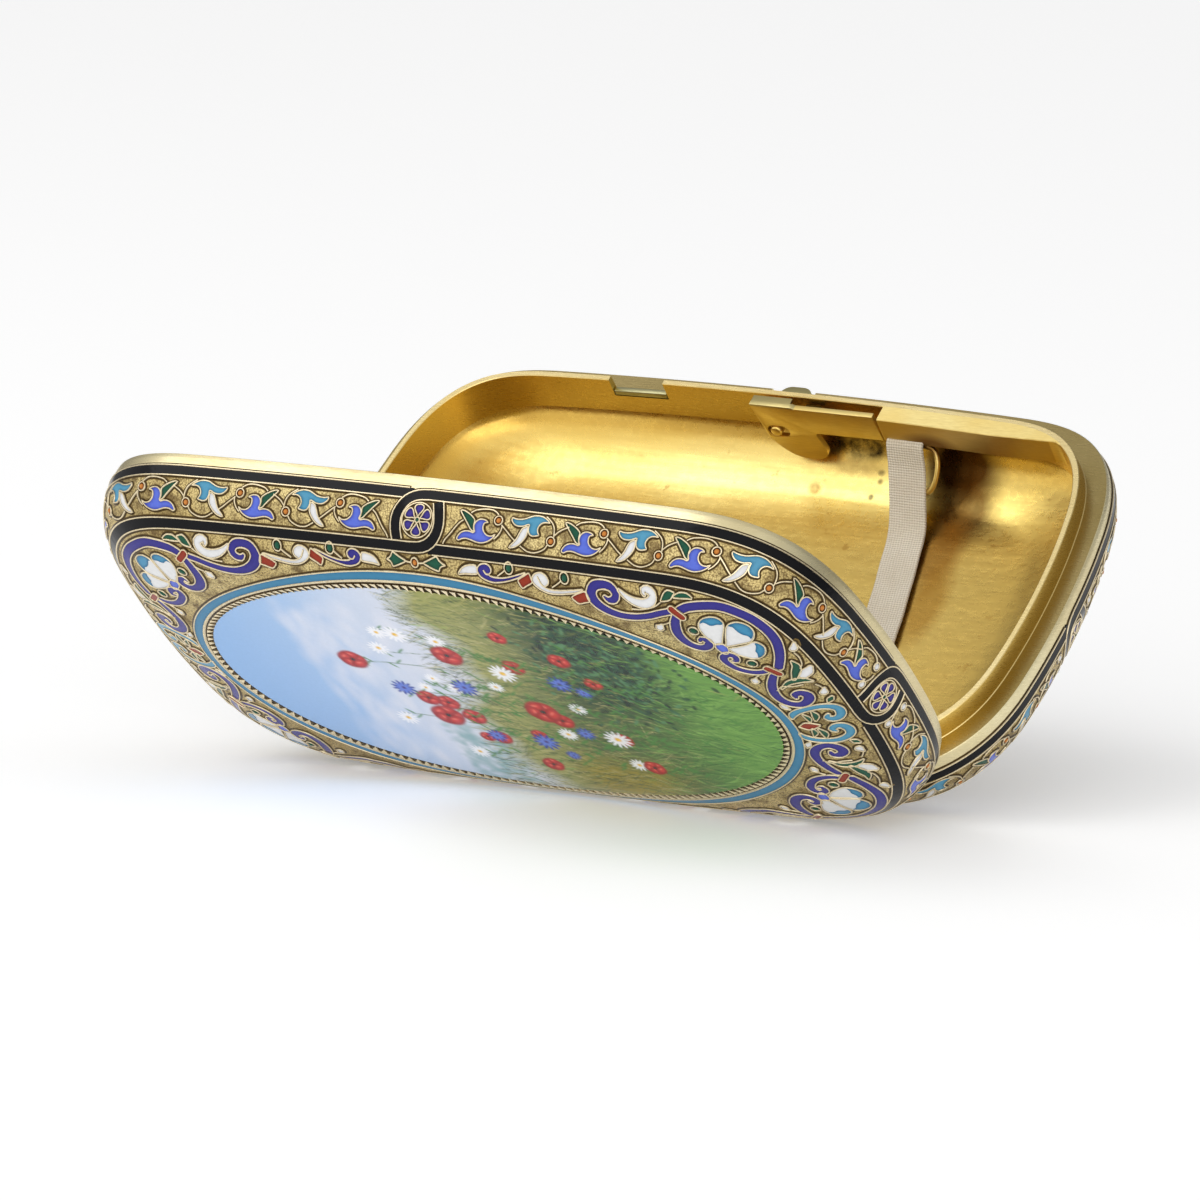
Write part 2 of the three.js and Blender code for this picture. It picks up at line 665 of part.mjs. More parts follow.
base.add(named("latch_slide", latchSolid(), metal(brightGilt, 0.25)));
base.add(named("latch_guide_pin",
  latchPinRod(latchPinRadius, latchInnerY - 0.3, claspEdge - baseLedgeWidth + 0.3), metal(brightGilt, 0.2)));
base.add(named("latch_spring", springSolid(), metal(brightGilt, 0.35)));
base.add(named("clasp_block", clampBlockSolid(), metal(paleGilt, 0.25)));
base.add(named("gate_plate", gateSolid(), metal(brightGilt, 0.25)));
base.add(named("strap_ring", ringSolid(), metal(brightGilt, 0.3)));
base.add(named("strap_staple", stapleSolid(), metal(brightGilt, 0.3)));
base.add(named("holding_strap", strapSolid(),
  new THREE.MeshStandardMaterial({ color: 0xcbbba0, roughness: 0.9, metalness: 0 })));

const hook = named("lid_catch", catchSolid(), metal(brightGilt, 0.3));
hook.rotation.y = Math.PI;
lid.add(hook);
lid.add(named("lid_plaque", plaqueSolid(),
  new THREE.MeshStandardMaterial({ color: 0x8fa56a, roughness: 0.15, metalness: 0 })));
lid.add(named("plaque_border", borderSolid(), metal(paleGilt, 0.35)));

// The case stands on the shoulders beside its spine, with the lowest shoulder line at Z = 0.
const part = new THREE.Group();
const standing = new THREE.Group();
standing.add(base, lid);
part.add(standing);
standing.position.z = -new THREE.Box3().setFromObject(standing, true).min.z;
part.updateMatrixWorld(true);
export default part;
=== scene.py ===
import json
import math
import bmesh
import bpy
import numpy as np
from mathutils import Matrix, Vector
from mathutils.geometry import delaunay_2d_cdt


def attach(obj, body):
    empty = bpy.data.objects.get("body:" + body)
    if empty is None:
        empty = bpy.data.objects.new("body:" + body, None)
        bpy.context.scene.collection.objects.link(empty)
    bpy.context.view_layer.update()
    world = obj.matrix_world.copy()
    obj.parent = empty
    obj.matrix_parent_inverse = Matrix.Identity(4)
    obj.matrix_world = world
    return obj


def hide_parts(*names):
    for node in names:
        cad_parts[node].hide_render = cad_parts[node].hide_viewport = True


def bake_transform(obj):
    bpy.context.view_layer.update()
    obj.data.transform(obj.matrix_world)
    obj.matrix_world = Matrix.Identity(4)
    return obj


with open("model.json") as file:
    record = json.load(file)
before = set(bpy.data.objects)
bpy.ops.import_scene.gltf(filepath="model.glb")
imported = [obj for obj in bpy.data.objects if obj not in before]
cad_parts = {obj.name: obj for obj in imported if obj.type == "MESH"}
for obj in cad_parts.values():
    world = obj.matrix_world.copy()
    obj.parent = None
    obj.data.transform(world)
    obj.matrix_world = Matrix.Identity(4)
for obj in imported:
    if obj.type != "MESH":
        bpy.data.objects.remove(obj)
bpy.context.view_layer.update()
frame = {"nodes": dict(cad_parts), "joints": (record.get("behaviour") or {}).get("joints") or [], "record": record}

mm = 0.001
hinge = next(joint for joint in frame["joints"] if joint["name"] == "lid_hinge")

# the form of both halves, in millimetres, as the solids have it
caseForm = {
    "length": 110, "width": 64.3, "cornerLong": 19.5, "cornerWide": 21.3,
    "claspPower": 3.5, "hingePower": 2.9, "longBow": 1.5, "shortBow": 3.9,
    "openAngle": 99.8, "axisInset": 3.7, "axisHeight": hinge["pos_m"][2] / mm, "rimGap": 0.1,
    "bandDepth": 2.1, "bandBulge": 0.37, "shoulderInset": 3.35, "shoulderDepth": 9.54,
    "crownRise": 2.95, "crownPower": 6, "crownFlat": 0.3, "wall": 1.3, "crown": 2.0,
    # inset of the wall's stops, and their depth as a share of the shoulder's
    "bandTurn": 0.3, "wallStops": [(0.15, 0.55), (1.45, 0.82)],
    "cornerSteps": 26, "longSteps": 36, "shortSteps": 16, "wallSteps": 240,
}
lean = math.radians(90 - caseForm["openAngle"] / 2)
middleY = caseForm["width"] / 2 - caseForm["axisInset"]
claspEdge = caseForm["width"] - caseForm["axisInset"]


def say(stage):
    print("stage:", stage, flush=True)


# mapping from flat patterns to the curved halves

def outlineRing(inset):
    f = caseForm
    halfLong, halfWide = f["length"] / 2 - inset, f["width"] / 2 - inset
    cornerLong, cornerWide = f["cornerLong"], f["cornerWide"]
    points = []
    for signX, signY in ((1, 1), (-1, 1), (-1, -1), (1, -1)):
        power = 2 / (f["claspPower"] if signY > 0 else f["hingePower"])
        rising = signX * signY > 0
        for step in range(f["cornerSteps"] + 1):
            share = step / f["cornerSteps"]
            angle = (share if rising else 1 - share) * math.pi / 2
            x = f["length"] / 2 - cornerLong + (cornerLong - inset) * max(0, math.cos(angle)) ** power
            y = f["width"] / 2 - cornerWide + (cornerWide - inset) * max(0, math.sin(angle)) ** power
            points.append((signX * x, signY * y))
        steps = f["longSteps"] if rising else f["shortSteps"]
        fromX, fromY = points[-1]
        toX, toY = (-fromX, fromY) if rising else (fromX, -fromY)
        for step in range(1, steps):
            share = step / steps
            points.append((fromX + (toX - fromX) * share, fromY + (toY - fromY) * share))
    x, y = np.array(points).T
    bowX = f["shortBow"] * (y / halfWide) ** 2 * np.minimum(1, np.abs(x) / halfLong)
    bowY = f["longBow"] * (x / halfLong) ** 2 * np.minimum(1, np.abs(y) / halfWide)
    return np.stack([x - np.sign(x) * bowX, y - np.sign(y) * bowY + middleY], 1)


insetLow, insetStep, insetRows = -1.5, 0.1, 80  # the outline is worked out once at each of these insets
ringTable = np.stack([outlineRing(insetLow + insetStep * k) for k in range(insetRows)])
ringTable = np.concatenate([ringTable, ringTable[:, :1]], 1)
ringCount = ringTable.shape[1] - 1


def outlinePoint(place, inset):
    place = np.mod(place, ringCount)
    low = np.minimum(np.floor(place).astype(int), ringCount - 1)
    part = (place - low)[..., None]
    row = np.clip((np.asarray(inset) - insetLow) / insetStep, 0, len(ringTable) - 1.001)
    under = np.floor(row).astype(int)
    rise = (row - under)[..., None]
    first = ringTable[under, low] * (1 - part) + ringTable[under, low + 1] * part
    second = ringTable[under + 1, low] * (1 - part) + ringTable[under + 1, low + 1] * part
    return first * (1 - rise) + second * rise


# the border is measured along this outline, from the middle of the clasp side
edgeInset = 0.3
edgeRing = ringTable[round((edgeInset - insetLow) / insetStep)]
edgeArc = np.concatenate([[0], np.cumsum(np.hypot(*(edgeRing[1:] - edgeRing[:-1]).T))])
girth = edgeArc[-1]
claspPlace = np.argmin(np.abs(edgeRing[:ringCount, 0]) - edgeRing[:ringCount, 1])
claspArc = edgeArc[claspPlace]
shortMiddle = girth / 4
hingeMiddle = girth / 2


def placeAlong(u):
    return np.interp(np.mod(np.asarray(u) + claspArc, girth), edgeArc, np.arange(ringCount + 1))


def wallCurve(t):
    f = caseForm
    stops = [(0, 0), (-f["bandBulge"], f["bandDepth"] + f["bandTurn"])]
    stops += [(inset, f["shoulderDepth"] * share) for inset, share in f["wallStops"]]
    stops = np.array(stops + [(f["shoulderInset"], f["shoulderDepth"])])
    last = len(stops) - 1
    place = t * last
    k = int(min(math.floor(place), last - 1))
    w = place - k
    p0, p1, p2, p3 = stops[max(k - 1, 0)], stops[k], stops[k + 1], stops[min(k + 2, last)]
    v0, v1 = (p2 - p0) / 2, (p3 - p1) / 2
    return (2 * p1 - 2 * p2 + v0 + v1) * w ** 3 + (-3 * p1 + 3 * p2 - 2 * v0 - v1) * w ** 2 + v0 * w + p1


wallPoints = np.array([wallCurve(t) for t in np.linspace(0, 1, caseForm["wallSteps"] + 1)])
wallArc = np.concatenate([[0], np.cumsum(np.hypot(*(wallPoints[1:] - wallPoints[:-1]).T))])
wallSlope = np.gradient(wallPoints, wallArc, axis=0)
wallReach = wallArc[-1]


def mapWall(points):
    u, v, lift = points.T
    inset, depth = (np.interp(v, wallArc, wallPoints[:, k]) for k in (0, 1))
    runIn, runDown = (np.interp(v, wallArc, wallSlope[:, k]) for k in (0, 1))
    beyond = np.maximum(0, v - wallReach)
    inset = inset + beyond * wallSlope[-1, 0] - lift * runDown
    depth = depth + beyond * wallSlope[-1, 1] + lift * runIn
    x, y = outlinePoint(placeAlong(u), inset).T
    return np.stack([x, y, -(depth + caseForm["rimGap"])], 1)


shoulderRing = outlineRing(caseForm["shoulderInset"]) - (0, middleY)
shoulderAngle = np.arctan2(shoulderRing[:, 1], shoulderRing[:, 0])
order = np.argsort(shoulderAngle)
shoulderAngle = np.concatenate([shoulderAngle[order] + turn * 2 * math.pi for turn in (-1, 0, 1)])
shoulderReach = np.tile(np.hypot(*shoulderRing[order].T), 3)


def crownDepth(x, y):
    f = caseForm
    share = np.hypot(x, y) / np.interp(np.arctan2(y, x), shoulderAngle, shoulderReach)
    fall = np.maximum(0, (share - f["crownFlat"]) / (1 - f["crownFlat"]))
    return f["shoulderDepth"] + f["crownRise"] * (1 - fall ** f["crownPower"])


def mapFace(points):
    x, y, lift = points.T
    step = 0.05
    slopeX = (crownDepth(x + step, y) - crownDepth(x - step, y)) / (2 * step)
    slopeY = (crownDepth(x, y + step) - crownDepth(x, y - step)) / (2 * step)
    size = np.sqrt(slopeX ** 2 + slopeY ** 2 + 1)
    depth = crownDepth(x, y) + caseForm["rimGap"]
    return np.stack([x - lift * slopeX / size, y - lift * slopeY / size + middleY, -depth - lift / size], 1)


def toWorld(local, half):
    x, y, z = np.asarray(local, float).T
    c, s = math.cos(lean), math.sin(lean)
    world = np.stack([x, y * c - z * s, y * s + z * c + caseForm["axisHeight"]], 1)
    if half == "lid":
        world[:, :2] *= -1
    return world * mm


# pieces

def makePiece(name, points, faces, body, materials, slot, replaced=(), colours=None, kinds=None):
    mesh = bpy.data.meshes.new(name)
    mesh.from_pydata(np.asarray(points).tolist(), [], faces)
    if colours is not None:
        layer = mesh.color_attributes.new("glaze", "FLOAT_COLOR", "POINT")
        layer.data.foreach_set("color", np.concatenate([colours, np.ones((len(colours), 1))], 1).ravel())
    for material in materials:
        mesh.materials.append(material)
    if kinds is not None:
        mesh.polygons.foreach_set("material_index", kinds)
    piece = bpy.data.objects.new(name, mesh)
    bpy.context.scene.collection.objects.link(piece)
    reworkMesh(mesh, lambda work: bmesh.ops.recalc_face_normals(work, faces=work.faces))
    return finishPiece(piece, body, slot, replaced)


def reworkMesh(mesh, change):
    work = bmesh.new()
    work.from_mesh(mesh)
    change(work)
    work.to_mesh(mesh)
    work.free()


def finishPiece(piece, body, slot, replaced=(), bend=None):
    if bend:
        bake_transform(piece)
    else:
        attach(piece, body)
    if replaced:
        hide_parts(*replaced)
    return piece


def pick(piece):
    bpy.ops.object.select_all(action="DESELECT")
    piece.select_set(True)
    bpy.context.view_layer.objects.active = piece


def smooth(piece, degrees):
    pick(piece)
    bpy.ops.object.shade_smooth_by_angle(angle=math.radians(degrees))


spineGap = 0.15  # each half ends this far from the plane between them


def cutAtSpine(piece, half):
    side = 1 if half == "base" else -1
    pick(piece)
    bpy.ops.object.mode_set(mode="EDIT")
    bpy.ops.mesh.select_all(action="SELECT")
    bpy.ops.mesh.bisect(plane_co=(0, side * spineGap * mm, 0), plane_no=(0, side, 0), use_fill=True,
                        clear_inner=True)
    bpy.ops.mesh.select_all(action="DESELECT")
    bpy.ops.object.mode_set(mode="OBJECT")


def applyModifier(piece, kind, **settings):
    pick(piece)
    modifier = piece.modifiers.new(kind.lower(), kind)
    for key, value in settings.items():
        setattr(modifier, key, value)
    bpy.ops.object.modifier_apply(modifier=modifier.name)


# materials

class Socket:
    def __init__(self, tree, link):
        self.tree, self.link = tree, link

    def maths(self, operation, other, swap=False):
        node = self.tree.nodes.new("ShaderNodeMath")
        node.operation = operation
        for k, value in enumerate([other, self] if swap else [self, other]):
            if isinstance(value, Socket):
                self.tree.links.new(value.link, node.inputs[k])
            else:
                node.inputs[k].default_value = value
        return Socket(self.tree, node.outputs[0])

    def __add__(self, other):
        return self.maths("ADD", other)

    def __sub__(self, other):
        return self.maths("SUBTRACT", other)

    def __rsub__(self, other):
        return self.maths("SUBTRACT", other, True)

    def __mul__(self, other):
        return self.maths("MULTIPLY", other)

    __radd__, __rmul__ = __add__, __mul__


class Finish:
    def __init__(self, name, **constants):
        self.material = bpy.data.materials.new(name)
        self.material.use_nodes = True
        self.tree = self.material.node_tree
        self.shader = self.tree.nodes["Principled BSDF"]
        for key, value in constants.items():
            self.shader.inputs[key.replace("_", " ")].default_value = value
        self.place = self.node("ShaderNodeTexCoord", out="Object")

    # settings are set first; an input is named by its label, or by i and its number
    def node(self, kind, settings=None, out=0, **inputs):
        made = self.tree.nodes.new(kind)
        for key, value in (settings or {}).items():
            if key == "stops":
                for element, (at, colour) in zip(made.color_ramp.elements, value):
                    element.position, element.color = at, (*colour, 1)
            else:
                setattr(made, key, value)
        for key, value in inputs.items():
            socket = made.inputs[int(key[1:]) if key[1:].isdigit() else key.replace("_", " ")]
            if isinstance(value, Socket):
                self.tree.links.new(value.link, socket)
            else:
                socket.default_value = value
        return Socket(self.tree, made.outputs[out])

    def noise(self, scale, detail=3, rough=0.55, vector=None):
        return self.node("ShaderNodeTexNoise", Vector=vector or self.place, Scale=scale, Detail=detail,
                         Roughness=rough)

    # a ramp of two stops
    def ramp(self, value, *stops):
        return self.node("ShaderNodeValToRGB", {"stops": stops}, Fac=value)

    def between(self, value, low, high, toLow=0.0, toHigh=1.0):
        return self.node("ShaderNodeMapRange", Value=value, From_Min=low, From_Max=high, To_Min=toLow,
                         To_Max=toHigh)

    def mix(self, factor, first, second, blend="MIX"):
        first, second = (tone if isinstance(tone, Socket) else (*tone, 1) for tone in (first, second))
        return self.node("ShaderNodeMix", {"data_type": "RGBA", "blend_type": blend}, out=2,
                         i0=factor, i6=first, i7=second)

    def vector(self, operation, first, second, out=0):
        return self.node("ShaderNodeVectorMath", {"operation": operation}, out=out, i0=first, i1=second)

    # the colour that the mesh carries at each point, dimmed a little by a grain
    def painted(self, share, grain, dim, top=0.7):
        glaze = self.node("ShaderNodeAttribute", {"attribute_name": "glaze"}, out="Color")
        return self.mix(share, glaze, self.ramp(grain, (0.3, dim), (top, (1, 1, 1))), "MULTIPLY")

    # two tones in broad clouds, with fine streaks of a third
    def brushed(self, deep, pale, streak):
        lined = self.node("ShaderNodeMapping", Vector=self.place, Scale=(1, 1, 12))
        brush, broad = self.noise(700, 4, 0.6, lined), self.noise(60)
        tone = self.mix(self.between(broad, 0.35, 0.65), deep, pale)
        return self.mix(self.between(brush, 0.3, 0.75, 0, 0.3), tone, streak), brush, broad

    # one soft blot round a point of the base half, given in its own millimetres
    def spot(self, x, y, z, long, wide):
        away = self.vector("SUBTRACT", self.place, tuple(toWorld([(x, y, z)], "base")[0]))
        away = self.vector("DIVIDE", away, (long * mm, wide * mm, wide * mm))
        length = self.node("ShaderNodeVectorMath", {"operation": "LENGTH"}, out=1, i0=away)
        return self.between(length, 1.0, 0.45)

    # a box of the base half with soft sides
    def block(self, low, high, soft=0.1):
        c, s = math.cos(lean), math.sin(lean)
        height = caseForm["axisHeight"] * mm
        turned = self.node("ShaderNodeMapping", Vector=self.place, Location=(0, -height * s, -height * c),
                           Rotation=(-lean, 0, 0))
        parts = self.node("ShaderNodeSeparateXYZ", Vector=turned).link.node.outputs
        mask = 1
        for k in range(3):
            value = Socket(self.tree, parts[k])
            for edge, fade in ((low[k], soft), (high[k], -soft)):
                mask = self.between(value, (edge - fade) * mm, (edge + fade) * mm) * mask
        return mask

    def bump(self, height, distance, strength=1.0, **before):
        return self.node("ShaderNodeBump", Height=height, Distance=distance, Strength=strength, **before)

    def feed(self, **links):
        for key, value in links.items():
            self.tree.links.new(value.link, self.shader.inputs[key.replace("_", " ")])
        return self.material


stippleForm = {"deep": (0.57, 0.43, 0.17), "pale": (0.78, 0.63, 0.29), "pit": (0.14, 0.085, 0.028),
               "worn": (0.13, 0.08, 0.03), "beads": 4200, "wear": 420}


def makeStippledGilt():
    c = stippleForm
    f = Finish("stippledGilt", Metallic=0.9)
    cells = f.node("ShaderNodeTexVoronoi", Vector=f.place, Scale=c["beads"], Randomness=0.9)
    patina, broad = f.noise(c["wear"], 5, 0.62), f.noise(90)
    tone = f.mix(f.between(broad, 0.35, 0.65), c["deep"], c["pale"])
    tone = f.mix(f.between(cells, 0.35, 0.8, 0, 0.8), tone, c["pit"])
    tone = f.mix(f.between(patina, 0.46, 0.66, 0, 0.8), tone, c["worn"])
    normal = f.bump(1 - cells, 0.0001, 0.8, Normal=f.bump(patina, 0.0002, 0.3))
    return f.feed(Base_Color=tone, Roughness=f.between(patina, 0.3, 0.7, 0.3, 0.5), Normal=normal)


def makeGlaze():
    f = Finish("enamelGlaze", Specular_IOR_Level=0.14)
    grain = f.noise(1500)
    return f.feed(Base_Color=f.painted(0.35, grain, (0.78, 0.78, 0.78)),
                  Roughness=f.between(grain, 0.3, 0.7, 0.1, 0.2),
                  Normal=f.bump(f.noise(700, 2), 0.00008, 0.35))


def makeWireGilt():
    f = Finish("wireGilt", Metallic=1.0)
    grain = f.noise(2600)
    return f.feed(Base_Color=f.painted(0.6, grain, (0.62, 0.56, 0.46), 0.65),
                  Roughness=f.between(grain, 0.3, 0.7, 0.22, 0.42),
                  Normal=f.bump(grain, 0.00005, 0.5))


# plain gilt; the soft boxes carry painted shade and painted reflection, and blots lists soft spots, each with its
# strength and its tone
def makeGilt(name, deep, pale, roughLow, roughHigh, shadeAndReflection=(), blots=()):
    f = Finish(name, Metallic=1.0)
    tone, brush, _ = f.brushed(deep, pale, (deep[0] * 0.6, deep[1] * 0.55, deep[2] * 0.5))
    for low, high, strength, shade in shadeAndReflection:
        tone = f.mix(f.block(low, high) * strength, tone, shade)
    for place, strength, shade in blots:
        tone = f.mix(f.spot(*place) * strength, tone, shade)
    return f.feed(Base_Color=tone, Roughness=f.between(brush, 0.3, 0.7, roughLow, roughHigh),
                  Normal=f.bump(brush, 0.00004, 0.3))


innerForm = {
    "deep": (0.90, 0.69, 0.20), "pale": (0.96, 0.81, 0.31), "scratch": (0.42, 0.28, 0.07),
    "speck": (0.28, 0.13, 0.02), "wall": (0.70, 0.40, 0.06), "low": (0.43, 0.28, 0.065), "lowEdge": 49.5,
    # middle, length and width of each blot in millimetres, its strength and its tone
    # the shades are painted shadow of the lid and the tape, down the tape's right side
    "shades": [((26, 56.6, -7.4, 7.5, 6), 0.96, (0.05, 0.014, 0.002)),
               ((27.6, 51, -9.8, 6, 7.5), 0.85, (0.09, 0.03, 0.003)),
               ((26.6, 44, -10.4, 4.2, 9), 0.75, (0.22, 0.09, 0.01)),
               ((28.6, 35, -10.5, 3.4, 9), 0.65, (0.30, 0.14, 0.015))],
    # darker spots under the latch and its arm
    "latchSpots": [((10.5, 57.8, -6.8, 6.8, 2.3), 1.0, (0.014, 0.008, 0.004)),
               ((10, 55.6, -8.6, 6.5, 1.7), 0.5, (0.20, 0.09, 0.015)),
               ((4.4, 52.2, -10, 1.3, 1.2), 0.7, (0.26, 0.11, 0.015)),
               ((13.9, 54.0, -9.3, 0.6, 0.6), 1.0, (0.03, 0.02, 0.01)),
               ((13.1, 51.8, -10, 0.55, 0.55), 1.0, (0.02, 0.02, 0.02)),
               ((13.8, 55.2, -8.9, 0.8, 0.7), 1.0, (0.03, 0.02, 0.01))],
}


def makeInnerGilt():
    c = innerForm
    f = Finish("mirrorGilt", Metallic=1.0)
    fine = f.noise(900, 4, 0.6)
    scratches = f.noise(900, 4, 0.6, f.node("ShaderNodeMapping", Vector=f.place, Scale=(0.08, 1, 1)))
    tone = f.mix(f.between(f.noise(35), 0.35, 0.65), c["deep"], c["pale"])
    tone = f.mix(f.between(scratches, 0.4, 0.7, 0, 0.3), tone, c["scratch"])
    tone = f.mix(f.block((-80, -20, -30), (80, c["lowEdge"], 30), 2.5) * 0.85, tone, c["low"])
    tone = f.mix(f.between(f.noise(420, 4, 0.7), 0.64, 0.72) * 0.45, tone, c["speck"])
    tone = f.mix(f.block((-80, -80, -8.2), (80, 80, 3), 1.5) * 0.75, tone, c["wall"])
    # painted shadow of the lid and the tape along the tape's right side, and darker spots under the latch, broken
    # up by a noise
    mottle = f.between(f.noise(330, 4, 0.7), 0.35, 0.62)
    for place, strength, shade in c["shades"]:
        tone = f.mix(f.spot(*place) * strength, tone, shade)
    for place, strength, shade in c["latchSpots"]:
        tone = f.mix(f.spot(*place) * (0.45 + mottle * 0.55) * strength, tone, shade)
    normal = f.bump(f.noise(160), 0.0004, 0.12, Normal=f.bump(fine + scratches, 0.00004, 0.4))
    return f.feed(Base_Color=tone, Roughness=f.between(fine, 0.3, 0.7, 0.23, 0.34), Normal=normal)


# gap is painted shadow; seat is painted dark reflection, lip painted highlight and strip painted reflection, each
# set by the way a face turns
rimTone = {"deep": (0.74, 0.62, 0.34), "pale": (0.84, 0.75, 0.47), "streak": (0.45, 0.36, 0.18),
           "gap": (0.02, 0.014, 0.006), "seatReflection": (0.27, 0.20, 0.07), "lip": (0.97, 0.76, 0.22),
           "strip": (0.80, 0.55, 0.14)}


def makeRimGilt(name, strip=False):
    c = rimTone
    f = Finish(name, Metallic=1.0)
    tone, brush, broad = f.brushed(c["deep"], c["pale"], c["streak"])
    # painted shadow in the deep gap over the latch arm and in the tongue's slot, and a painted dark reflection on
    # the seat that the lid closes on, where its faces look out of the opening
    dark = f.block((2.4, 55.2, -3.6), (16.8, 58.2, 2.6)) + f.block((-2.4, 56.9, -4), (4.2, 58.2, -0.2))
    tone = f.mix(dark, tone, c["gap"])
    normal = f.node("ShaderNodeNewGeometry", out="Normal")
    facing = f.vector("DOT_PRODUCT", normal, (0, -math.sin(lean), math.cos(lean)), 1)
    seatReflection = f.block((-70, -20, -0.95), (70, 80, 0.2), 0.05) * f.between(facing, 0.8, 0.95)
    tone = f.mix(seatReflection * (0.6 + broad * 0.6), tone, c["seatReflection"])
    # painted highlight: the faces above the rim plane that turn sideways get a bright yellow
    lip = f.block((-70, -20, 0.3), (70, 80, 2.6)) * f.between(facing, 0.5, 0.8, 1, 0) * (1 - dark)
    tone = f.mix(lip * 0.8, tone, c["lip"])
    # painted reflection: the strip's side faces turn amber
    if strip:
        tone = f.mix(f.between(facing, 0.5, 0.9, 1, 0.35), tone, c["strip"])
    return f.feed(Base_Color=tone, Roughness=f.between(brush, 0.3, 0.7, 0.24, 0.36),
                  Normal=f.bump(brush, 0.00004, 0.3))


def makePaint():
    f = Finish("plaquePaint", Specular_IOR_Level=0.18, Roughness=0.12)
    return f.feed(Base_Color=f.painted(0.25, f.noise(2400, 2), (0.85, 0.85, 0.85)),
                  Normal=f.bump(f.noise(300, 2), 0.0001, 0.08))


tapeTone = {"shade": (0.50, 0.43, 0.33), "thread": (0.82, 0.75, 0.62), "worn": (0.58, 0.49, 0.37),
            "threads": {"Y": 900, "X": 820}}


def makeTape():
    c = tapeTone
    f = Finish("wovenTape", Roughness=0.9, Sheen_Weight=0.35)
    place = f.node("ShaderNodeUVMap")
    weft, warp = (f.node("ShaderNodeTexWave", {"wave_type": "BANDS", "bands_direction": way}, out=1,
                         Vector=place, Scale=count, Distortion=1.6, Detail=2)
                  for way, count in c["threads"].items())
    weave = weft * 0.6 + warp * 0.4
    tone = f.ramp(weave, (0.1, c["shade"]), (0.75, c["thread"]))
    tone = f.mix(f.between(f.noise(220, 4), 0.35, 0.7, 0, 0.45), tone, c["worn"])
    return f.feed(Base_Color=tone, Normal=f.bump(weave, 0.00012, 0.8))


stippledGilt = makeStippledGilt()
enamelGlaze = makeGlaze()
wireGilt = makeWireGilt()
rimGilt = makeRimGilt("rimGilt")
stripGilt = makeRimGilt("stripGilt", True)
fittingGilt = makeGilt(
    "fittingGilt", (0.92, 0.66, 0.19), (0.98, 0.80, 0.34), 0.28, 0.4,
    # painted dark reflection on the latch's outer parts, painted shadow behind the latch arm, painted shade on the
    # block's front face and painted dark reflection on the tongue's top
    shadeAndReflection=[((-10, 58.3, -9), (30, 70, 9), 0.85, (0.33, 0.31, 0.16)),
          ((4.1, 56.2, -2), (16.8, 58.3, 3), 0.92, (0.02, 0.012, 0.004)),
          ((16.9, 54, -2), (43, 55.45, 2.6), 0.6, (0.44, 0.26, 0.05)),
          ((-3.4, 54.4, 2.35), (3.9, 58.2, 4), 0.7, (0.46, 0.42, 0.22))],
    blots=[((24, 55, -1.2, 5, 2.6), 0.8, (0.14, 0.05, 0.01))])
# the gate's filler is gilt in an olive tone: painted dark reflection on its top face
fillerReflectionGilt = makeGilt("fillerReflectionGilt", (0.42, 0.40, 0.22), (0.54, 0.50, 0.28), 0.3, 0.42)
mirrorGilt = makeInnerGilt()
plaquePaint = makePaint()
tapeCloth = makeTape()
say("materials")

# cells and wires, drawn flat as (u, v, lift) in millimetres

# each glaze at the edge and in the middle of its cell
glazes = {
    "cobalt": ((0.022, 0.018, 0.15), (0.040, 0.034, 0.23)),
    "peri": ((0.042, 0.058, 0.33), (0.10, 0.15, 0.60)),
    "turq": ((0.026, 0.15, 0.26), (0.085, 0.29, 0.44)),
    "cap": ((0.022, 0.13, 0.25), (0.055, 0.25, 0.42)),
    "ring": ((0.026, 0.14, 0.25), (0.05, 0.21, 0.36)),
    "white": ((0.56, 0.56, 0.57), (0.72, 0.72, 0.72)),
    "green": ((0.006, 0.035, 0.02), (0.014, 0.09, 0.05)),
    "red": ((0.17, 0.018, 0.008), (0.28, 0.035, 0.014)),
    "orange": ((0.26, 0.07, 0.012), (0.56, 0.21, 0.04)),
    "black": ((0.002, 0.002, 0.003), (0.004, 0.004, 0.005)),
    "violet": ((0.010, 0.006, 0.09), (0.06, 0.046, 0.27)),
}
wireForm = {
    # dark is painted shade on the sides and low skirts of each wire, with the patina at its foot
    "half": 0.115, "pitch": 0.3, "bright": (0.86, 0.74, 0.50), "dark": (0.04, 0.024, 0.01),
    "ground": (0.30, 0.21, 0.08),
    # half of the section, as reach in half widths and lift in millimetres, from the foot to the top
    "section": [(-4.2, -0.05), (-2.7, 0.018), (-1.15, 0.03), (-0.6, 0.17)],
}
cellForm = {
    "edge": 0.1, "middle": 0.065, "foot": -0.05, "grid": 0.34, "pitch": 0.26, "clear": 0.16, "fall": 0.4,
    "thinnest": 0.03, "berrySides": 12,
    "berryRings": [(1, -0.05, 0), (1, 0.1, 0), (0.75, 0.2, 0.6), (0.35, 0.27, 1)],  # share, lift and tone
}


